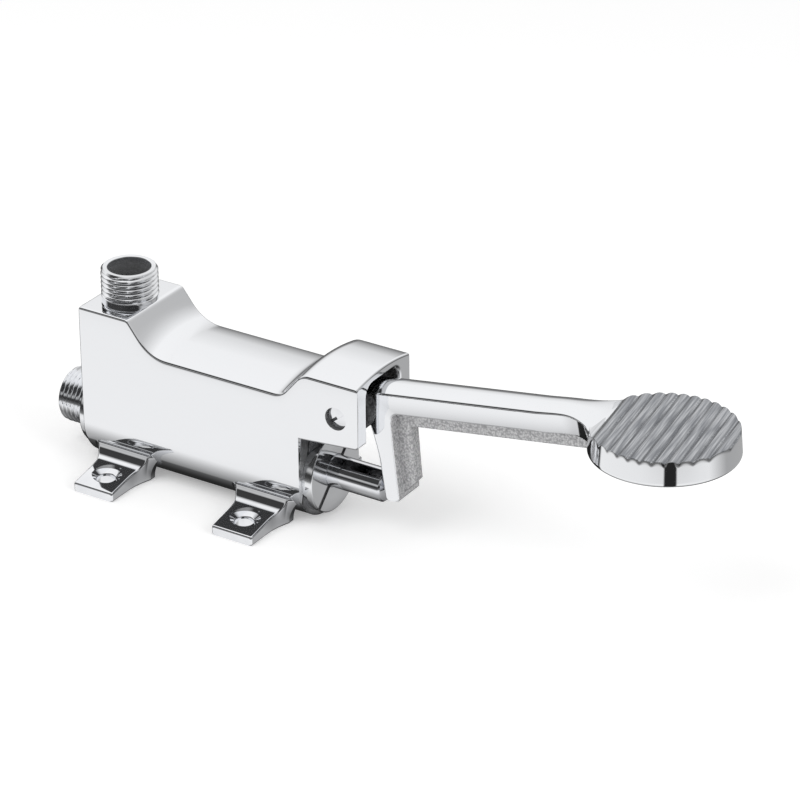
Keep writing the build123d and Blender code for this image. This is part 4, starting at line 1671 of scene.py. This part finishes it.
    def rib(self) -> Array:
        """The rib: two flat sides and a rounded edge between a line inside the skin and a line outside it.

        Returns:
            The closed grid.
        """
        foot = self.foot_r - self.leg_length
        front = self.leg_rear + self.leg_front[1]
        face, corner = front + self.rib_stand, self.leg_rear + self.leg_front[0] + self.rib_stand
        toe, leg_in, arm_in = self.rib_sunk
        inside, bend = front - leg_in, self.rib_bend
        half_way = (inside + corner) / 2
        end = self.local(*self.pad_centre)[0] + self.pad_r / 2
        early, late = quarter(8)
        chamfer, high = foot + self.rib_chamfer, self.rib_low - bend
        toe_low, toe_high = foot + self.rib_toe[0], self.rib_toe[1]
        outer = np.vstack(
            [
                np.linspace((front - toe, foot), (face, chamfer), 8, endpoint=False),
                np.linspace((face, chamfer), (corner, high), 40, endpoint=False),
                np.stack([corner + bend * early, high + bend * (1 - late)], axis=-1)[1:-1],
                np.linspace((corner + bend, self.rib_low), (end, self.rib_low), 130),
            ]
        )
        inner = np.vstack(
            [
                np.linspace((inside, foot), (inside, toe_low), 8, endpoint=False),
                np.linspace((inside, toe_low), (inside, toe_high), 40, endpoint=False),
                np.linspace((inside, arm_in), (half_way, arm_in), 8)[1:-1],
                np.linspace((corner + bend, arm_in), (end, arm_in), 130),
            ]
        )
        across = outer - inner
        length = np.linalg.norm(across, axis=1)[:, None]
        share = self.rib_edge / length
        early, late = quarter(6)
        side = np.linspace(0, 1, 20, endpoint=False) * (1 - share)
        near = np.hstack([side, 1 - share * late])
        near_y = np.hstack([self.rib_half + 0 * side, self.rib_half - self.rib_edge * early + 0 * length])
        middle = np.linspace(1, -1, 8)[1:-1] * (self.rib_half - self.rib_edge) + 0 * length
        along = np.hstack([near, 1 + 0 * middle, near[:, ::-1]])
        y = np.hstack([near_y, middle, -near_y[:, ::-1]])
        plane = inner[:, None] + across[:, None] * along[..., None]
        return self.placed(plane[..., 0], y, plane[..., 1])

    def pad(self) -> tuple[Array, Array]:
        """The pad: rings from its middle over the ridged top, down the side and back under it.

        The ridges' height is an arch between narrow valleys: one less the square of the place in the pitch, to a
        power just under one. It fades in behind the edge by the arm. The side widens evenly towards the foot.

        Returns:
            The grid and the raw mark of each point.
        """
        pitch, height, turn = self.ridge
        angle = np.linspace(0, 2 * pi, self.pad_columns, endpoint=False)[None, :]
        early, late = quarter(6)
        rings = np.linspace(0, self.pad_r - self.pad_rim, self.pad_rows, endpoint=False)
        top_r = np.concatenate([rings, self.pad_r - self.pad_rim * late])[:, None]
        dip = np.concatenate([0 * rings, self.pad_rim * early])[:, None]
        over = top_r * np.cos(angle - radians(turn))
        arch = height * (1 - ((over / pitch) % 1 * 2 - 1) ** 2) ** self.ridge_power
        start, run, step = self.ridge_fade
        fade = smooth(np.clip((over + self.pad_r - start) / run, 0, 1))
        level = -height + arch * fade - (1 - fade) * step - dip
        deep, edge = self.pad_thickness, self.pad_edge
        low = edge - deep
        side_z = level[-1:] + (low - level[-1:]) * np.linspace(0, 1, 12)[1:-1, None]
        side_r = self.pad_r - self.pad_draft * side_z / deep
        foot = self.pad_r + self.pad_draft
        early, late = (part[:, None] for part in quarter(8))
        foot_r = foot - edge * early - self.pad_draft * edge / deep + 0 * angle
        foot_z = low - edge * (1 - late) + 0 * angle
        under_r = np.linspace(foot - 2 * edge, 0, 10)[1:, None] + 0 * angle
        radius = np.vstack([top_r + 0 * angle, side_r, foot_r, under_r])
        z = np.vstack([level, side_z, foot_z, -deep + 0 * under_r])
        x, lean = radius * np.cos(angle), radians(self.pad_tilt)
        px = self.pad_centre[0] + x * cos(lean) - z * sin(lean)
        pz = self.pad_centre[1] + x * sin(lean) + z * cos(lean)
        raw = np.zeros(z.shape)
        raw[: len(level)] = fade * (dip < self.pad_rim * self.ridge_rim)
        return grid_of(px, radius * np.sin(angle), pz), raw

    def make(self, finisher: Finisher) -> None:
        """Build and dress the lever's pieces.

        Args:
            finisher: gives the finish.
        """
        grid, raw = self.skin()
        skin = build("lever_skin", Surface(grid, capped=True, raw=raw), self.skin_crease)
        bore = stepped((-self.bush_reach, self.bush_reach, self.bush_r))
        carve(skin, [turned("bush_bore", bore, Line.ACROSS, VALVE.pivot)], self.skin_crease)
        ends = tuple(zip((self.bush_r, self.hub_r), self.hub_bends))
        corners = [(-self.hub_half, *end) for end in ends] + [(self.hub_half, *end) for end in ends[::-1]]
        # the hub is marked raw all over and takes the body's near-black cast colour: painted shade inside the
        # slot
        hub = turned("lever_hub", outline(corners, closed=True), Line.ACROSS, VALVE.pivot, ring=True, raw=1.0)
        rib = build("lever_rib", Surface(self.rib(), capped=True, raw=np.ones((1, 1))), self.rib_crease)
        pad_grid, pad_raw = self.pad()
        pad = build("lever_pad", Surface(pad_grid, raw=pad_raw), self.pad_crease)
        finisher.dress(skin, Finish.LEVER, "pedal", ["pedal_lever"])
        finisher.dress(hub, Finish.BODY, "pedal")
        finisher.dress(rib, Finish.LEVER, "pedal")
        finisher.dress(pad, Finish.PAD, "pedal")


@dataclass
class ReturnSpring:
    """Coil spring behind the disc, which in the real valve shortens as the rod comes in; here it is built once,
    in its solid's box.
    """

    wire_r: float = 0.6
    turns: int = 5
    travel: float = 6.3

    def coil(self, low: Array, high: Array) -> Array:
        """Round sections along the coil, in the box of the solid that it replaces.

        When the spring is pressed, a point moves back by the travel times the smooth step of its share of the
        length. The sections are placed so that the pressed turns are evenly spaced: the turn is the length
        times the share, less the travel times its smooth step.

        Args:
            low: lowest corner of the box.
            high: highest corner.

        Returns:
            The grid.
        """
        length = high[0] - low[0] - 2 * self.wire_r
        mean_r = (high[1] - low[1]) / 2 - self.wire_r
        share = np.linspace(0, 1, 64 * self.turns + 1)
        pressed = length * share - self.travel * smooth(share)
        angle = 2 * pi * self.turns * pressed / pressed[-1]
        x = low[0] + self.wire_r + length * share
        y, z = mean_r * np.cos(angle), mean_r * np.sin(angle)
        line = np.stack([x, y, z + (low[2] + high[2]) / 2], axis=-1)
        out = np.stack([0 * angle, np.cos(angle), np.sin(angle)], axis=-1)
        along = np.gradient(line, axis=0)
        along /= np.linalg.norm(along, axis=1)[:, None]
        up = np.cross(along, out)
        swing = np.linspace(0, 2 * pi, 14, endpoint=False)[None, :, None]
        return line[:, None] + self.wire_r * (np.cos(swing) * out[:, None] + np.sin(swing) * up[:, None])

    def make(self, finisher: Finisher) -> None:
        """Wind and dress the spring in the box of the solid that it replaces, between the body and the rod.

        Args:
            finisher: gives the finish.
        """
        low, high = (np.array(corner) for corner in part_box("return_spring"))
        piece = build("return_coil", Surface(self.coil(low / MM, high / MM), capped=True))
        finisher.cover(piece, Finish.STEEL)
        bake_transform(piece)
        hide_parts("return_spring")


@dataclass
class InnerParts:
    """Seals, seat, disc and bearings, which keep their solids' shapes."""

    rubber: tuple[str, ...] = (
        "outlet_o_ring", "inlet_o_ring", "gland_o_ring", "rod_o_ring_1", "rod_o_ring_2", "seat_washer",
    )
    brass: tuple[str, ...] = ("seat_ring", "valve_disc", "clamp_washer", "disc_nut")
    plastic: tuple[str, ...] = ("pivot_bush", "lever_washer_near", "lever_washer_far")

    def make(self, finisher: Finisher) -> None:
        """Give each kept node its finish.

        Args:
            finisher: gives the finish.
        """
        sorts = ((self.rubber, Finish.RUBBER), (self.brass, Finish.BRASS), (self.plastic, Finish.PLASTIC))
        for names, finish in sorts:
            for name in names:
                finisher.cover(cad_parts[name], finish)


# Studio


@dataclass
class Studio:
    """Pale floor, soft lamps, the surroundings that the metal reflects, and the camera."""

    azimuth: float = 32.36
    elevation: float = 27.314
    roll: float = -0.2369
    distance: float = 1287.006
    target: Triple = (78.117, 0.0, 53.012)
    focus: float = 3703.22  # focal length, in units of the frame's width
    frame_width: float = 800.0
    sensor: float = 36.0
    floor_half: float = 2500.0
    floor_colour: Colour = (0.92, 0.92, 0.92, 1.0)
    floor_glow: float = 0.3  # light that the camera alone sees in the floor
    shade: float = 0.02  # level of the painted shadow and painted dark wedge that metal sees in the floor
    footprint: Triple = (-46.0, 40.0, 9.0)  # of the painted shadow under the object: rear, front and half width
    dark_reach: float = 15.0
    bar: Triple = (182.3, 4.0, 0.15)  # the painted dark wedge: start, turn in degrees and half slant
    bar_edge: float = 0.02
    bar_start: Pair = (40.0, 60.0)
    plain: float = 0.55  # level of the surroundings to matt surfaces
    levels: tuple[Pair, ...] = (  # height of a direction, and level of the light from there
        (-1.0, 0.3),
        (-0.75, 0.45),
        (-0.6, 0.72),
        (-0.47, 0.93),
        (-0.34, 0.86),
        (-0.27, 0.2),
        (-0.17, 0.1),
        (-0.08, 0.04),
        (0.05, 0.04),
        (0.14, 0.4),
        (0.26, 0.75),
        (0.5, 0.95),
        (1.0, 1.0),
    )
    least: Triple = (0.2, 0.3, 0.6)  # least level behind the object, and the directions between which it sets in
    lamps: tuple[tuple[str, Triple, float, float], ...] = (  # name, place and size in metres, and power
        ("key", (-0.25, -0.7, 1.1), 0.9, 5.5),
        ("fill", (1.1, -0.1, 0.6), 0.7, 4.0),
    )

    def axes(self) -> tuple[Vector, Vector, Vector]:
        """Right, up and back directions of the camera.

        Returns:
            Three unit vectors.
        """
        azimuth, elevation, roll = radians(self.azimuth), radians(self.elevation), radians(self.roll)
        level = cos(elevation)
        back = Vector((sin(azimuth) * level, -cos(azimuth) * level, sin(elevation)))
        right = Vector((cos(azimuth), sin(azimuth), 0.0))
        up = back.cross(right)
        return cos(roll) * right + sin(roll) * up, cos(roll) * up - sin(roll) * right, back

    def camera(self) -> None:
        """Place the camera at the photograph's viewing angle."""
        right, up, back = self.axes()
        data = bpy.data.cameras.new("camera")
        data.sensor_width = self.sensor
        data.lens = self.focus * self.sensor / self.frame_width
        data.clip_end = 100.0
        camera = bpy.data.objects.new("camera", data)
        place = (Vector(self.target) + back * self.distance) * MM
        camera.matrix_world = Matrix.Translation(place) @ Matrix((right, up, back)).transposed().to_4x4()
        bpy.context.scene.collection.objects.link(camera)
        bpy.context.scene.camera = camera

    def painted_under_shadow(self, graph: Graph, x: Any, y: Any) -> Any:
        """Share of the painted shadow under the object: it fades over a distance from the footprint's rectangle.

        Args:
            graph: the floor's graph.
            x: place along the valve.
            y: place across it.

        Returns:
            The share.
        """
        low, high, half = (limit * MM for limit in self.footprint)
        squares = []
        for offset, reach in ((graph.math("SUBTRACT", x, (low + high) / 2), (high - low) / 2), (y, half)):
            beyond = graph.math("SUBTRACT", graph.math("ABSOLUTE", offset), reach)
            beyond = graph.math("MAXIMUM", beyond, 0.0)
            squares.append(graph.product(beyond, beyond))
        return graph.fall(graph.math("SQRT", graph.math("ADD", *squares)), 0.0, self.dark_reach * MM)

    def painted_bar_reflection(self, graph: Graph, x: Any, y: Any) -> Any:
        """Share of a painted dark wedge that runs forward from under the pad, which paints a dark reflection into
        the pad's side.

        The slant is the distance across the wedge's own line over the distance along it.

        Args:
            graph: the floor's graph.
            x: place along the valve.
            y: place across it.

        Returns:
            The share.
        """
        start, turn, half = self.bar
        turn = radians(self.azimuth + turn)
        x = graph.math("SUBTRACT", x, start * MM)
        across = graph.math("ADD", graph.product(x, cos(turn)), graph.product(y, sin(turn)))
        ahead = graph.math("SUBTRACT", graph.product(x, sin(turn)), graph.product(y, cos(turn)))
        ahead = graph.math("MAXIMUM", ahead, MM)
        slant = graph.math("DIVIDE", graph.math("ABSOLUTE", across), ahead)
        wedge = graph.fall(slant, half - self.bar_edge, half + self.bar_edge)
        return graph.product(wedge, graph.rise(ahead, *(limit * MM for limit in self.bar_start)))

    def floor(self) -> None:
        """Lay a pale floor that keeps the object's shadow and shows white round it.

        Metal sees a painted shadow under the object and a painted dark wedge, and sees the surroundings past
        them.
        """
        far = self.floor_half * MM
        mesh = bpy.data.meshes.new("floor")
        mesh.from_pydata([(-far, -far, 0), (far, -far, 0), (far, far, 0), (-far, far, 0)], [], [[0, 1, 2, 3]])
        floor = bpy.data.objects.new("floor", mesh)
        bpy.context.scene.collection.objects.link(floor)
        material, graph, place = new_material("pale floor")
        path = graph.add("ShaderNodeLightPath").outputs
        seen = graph.product(path["Is Camera Ray"], self.floor_glow)
        glow = graph.add("ShaderNodeEmission", Color=(1.0, 1.0, 1.0, 1.0), Strength=seen)
        matt = graph.add("ShaderNodeBsdfDiffuse", Color=self.floor_colour)
        both = graph.add("ShaderNodeAddShader", n0=matt.outputs[0], n1=glow.outputs[0])
        spot = graph.add("ShaderNodeSeparateXYZ", Vector=place).outputs
        shades = (self.painted_under_shadow(graph, spot["X"], spot["Y"]), self.painted_bar_reflection(graph, spot["X"], spot["Y"]))
        # painted shadow and painted dark wedge, which only glossy rays see
        dark = graph.add("ShaderNodeEmission", Color=(self.shade, self.shade, self.shade, 1.0), Strength=1.0)
        clear = graph.add("ShaderNodeBsdfTransparent")
        near = graph.math("MAXIMUM", *shades)
        mirrored = graph.add("ShaderNodeMixShader", n0=near, n1=clear.outputs[0], n2=dark.outputs[0])
        glossy = path["Is Glossy Ray"]
        graph.show(graph.add("ShaderNodeMixShader", n0=glossy, n1=both.outputs[0], n2=mirrored.outputs[0]))
        mesh.materials.append(material)

    def lamp(self, name: str, place: Triple, size: float, power: float) -> None:
        """Hang a soft square lamp that faces the object.

        Args:
            name: name of the lamp.
            place: where it hangs, in metres.
            size: side of its square, in metres.
            power: power in watts.
        """
        data = bpy.data.lights.new(name, "AREA")
        data.size = size
        data.energy = power
        lamp = bpy.data.objects.new(name, data)
        aim = Vector(self.target) * MM - Vector(place)
        lamp.matrix_world = Matrix.Translation(place) @ aim.to_track_quat("-Z", "Y").to_matrix().to_4x4()
        lamp.visible_glossy = False
        bpy.context.scene.collection.objects.link(lamp)

    def metal_level(self, graph: Graph) -> Any:
        """Level of the light that metal sees from each direction: a soft-box studio with a dark horizon.

        A ramp over the height of the direction gives the level, which is not less than a floor behind the
        object. Then each zone multiplies it by what it keeps.

        Args:
            graph: the world's graph.

        Returns:
            The level.
        """
        way = graph.add("ShaderNodeTexCoord").outputs["Generated"]
        parts = graph.add("ShaderNodeSeparateXYZ", Vector=way).outputs
        x, y, z = (parts[axis] for axis in "XYZ")
        ramp = graph.add("ShaderNodeValToRGB", Fac=graph.rise(z, -1.0, 1.0))
        elements = ramp.color_ramp.elements
        stops = [((height + 1) / 2, level) for height, level in self.levels]
        elements[0].position, elements[1].position = stops[0][0], stops[-1][0]
        for position, _ in stops[1:-1]:
            elements.new(position)
        for element, (_, level) in zip(elements, stops):
            element.color = (level, level, level, 1.0)
        below = graph.fall(z, -0.25, -0.1)
        zones = (
            (0.45, graph.rise(y, 0.1, 0.6), below),  # behind the object, low
            (0.12, graph.rise(y, -0.15, 0.4), graph.fall(z, -0.8, -0.55)),  # behind and steeply down
            (0.6, graph.rise(x, 0.0, 0.5), graph.rise(z, 0.05, 0.2)),  # ahead of the pedal, raised
            (0.03, graph.fall(x, -0.6, -0.4), graph.rise(y, -0.18, -0.12), below),  # to the rear, low
            (0.05, graph.fall(y, -0.36, -0.12), graph.rise(z, 0.2, 0.34), graph.fall(z, 0.8, 0.92)),  # near side
        )
        least, start, stop = self.least
        level = graph.math("MAXIMUM", ramp.outputs["Color"], graph.spread(y, 0.0, least, start, stop))
        for kept, *shares in zones:
            level = graph.product(level, graph.spread(graph.product(*shares), 1.0, kept))
        return level

    def surroundings(self) -> None:
        """White to the camera, plain to matt surfaces, and a soft-box studio to metal."""
        world = bpy.data.worlds.new("studio")
        bpy.context.scene.world = world
        world.use_nodes = True
        graph = Graph(world.node_tree)
        level = self.metal_level(graph)
        metal = graph.add("ShaderNodeCombineColor", Red=level, Green=level, Blue=level).outputs[0]
        path = graph.add("ShaderNodeLightPath").outputs
        plain = graph.blend(path["Is Glossy Ray"], (self.plain, self.plain, self.plain, 1.0), metal)
        colour = graph.blend(path["Is Camera Ray"], plain, (1.0, 1.0, 1.0, 1.0))
        back = graph.add("ShaderNodeBackground", Color=colour, Strength=1.0)
        graph.add("ShaderNodeOutputWorld", Surface=back.outputs[0])

    def make(self) -> None:
        """Set up the whole studio."""
        bpy.context.scene.view_settings.view_transform = "Standard"
        self.floor()
        for lamp in self.lamps:
            self.lamp(*lamp)
        self.surroundings()
        self.camera()
        log.info("studio ready, camera %.1f degrees round and %.1f up", self.azimuth, self.elevation)


def main() -> None:
    """Build every sub-assembly in order and set up the studio."""
    logging.basicConfig(level=logging.INFO, format="%(name)s: %(message)s")
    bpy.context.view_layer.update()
    finisher = Finisher()
    screw = PivotScrew()
    BodyCasting().make(finisher, screw)
    Lugs().make(finisher)
    ends = PipeEnds()
    ends.outlet(finisher)
    ends.inlet(finisher)
    Gland().make(finisher)
    PushRod().make(finisher)
    screw.make(finisher)
    Lever().make(finisher)
    ReturnSpring().make(finisher)
    InnerParts().make(finisher)
    Studio().make()
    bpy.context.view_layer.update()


if __name__ == "__main__":
    main()
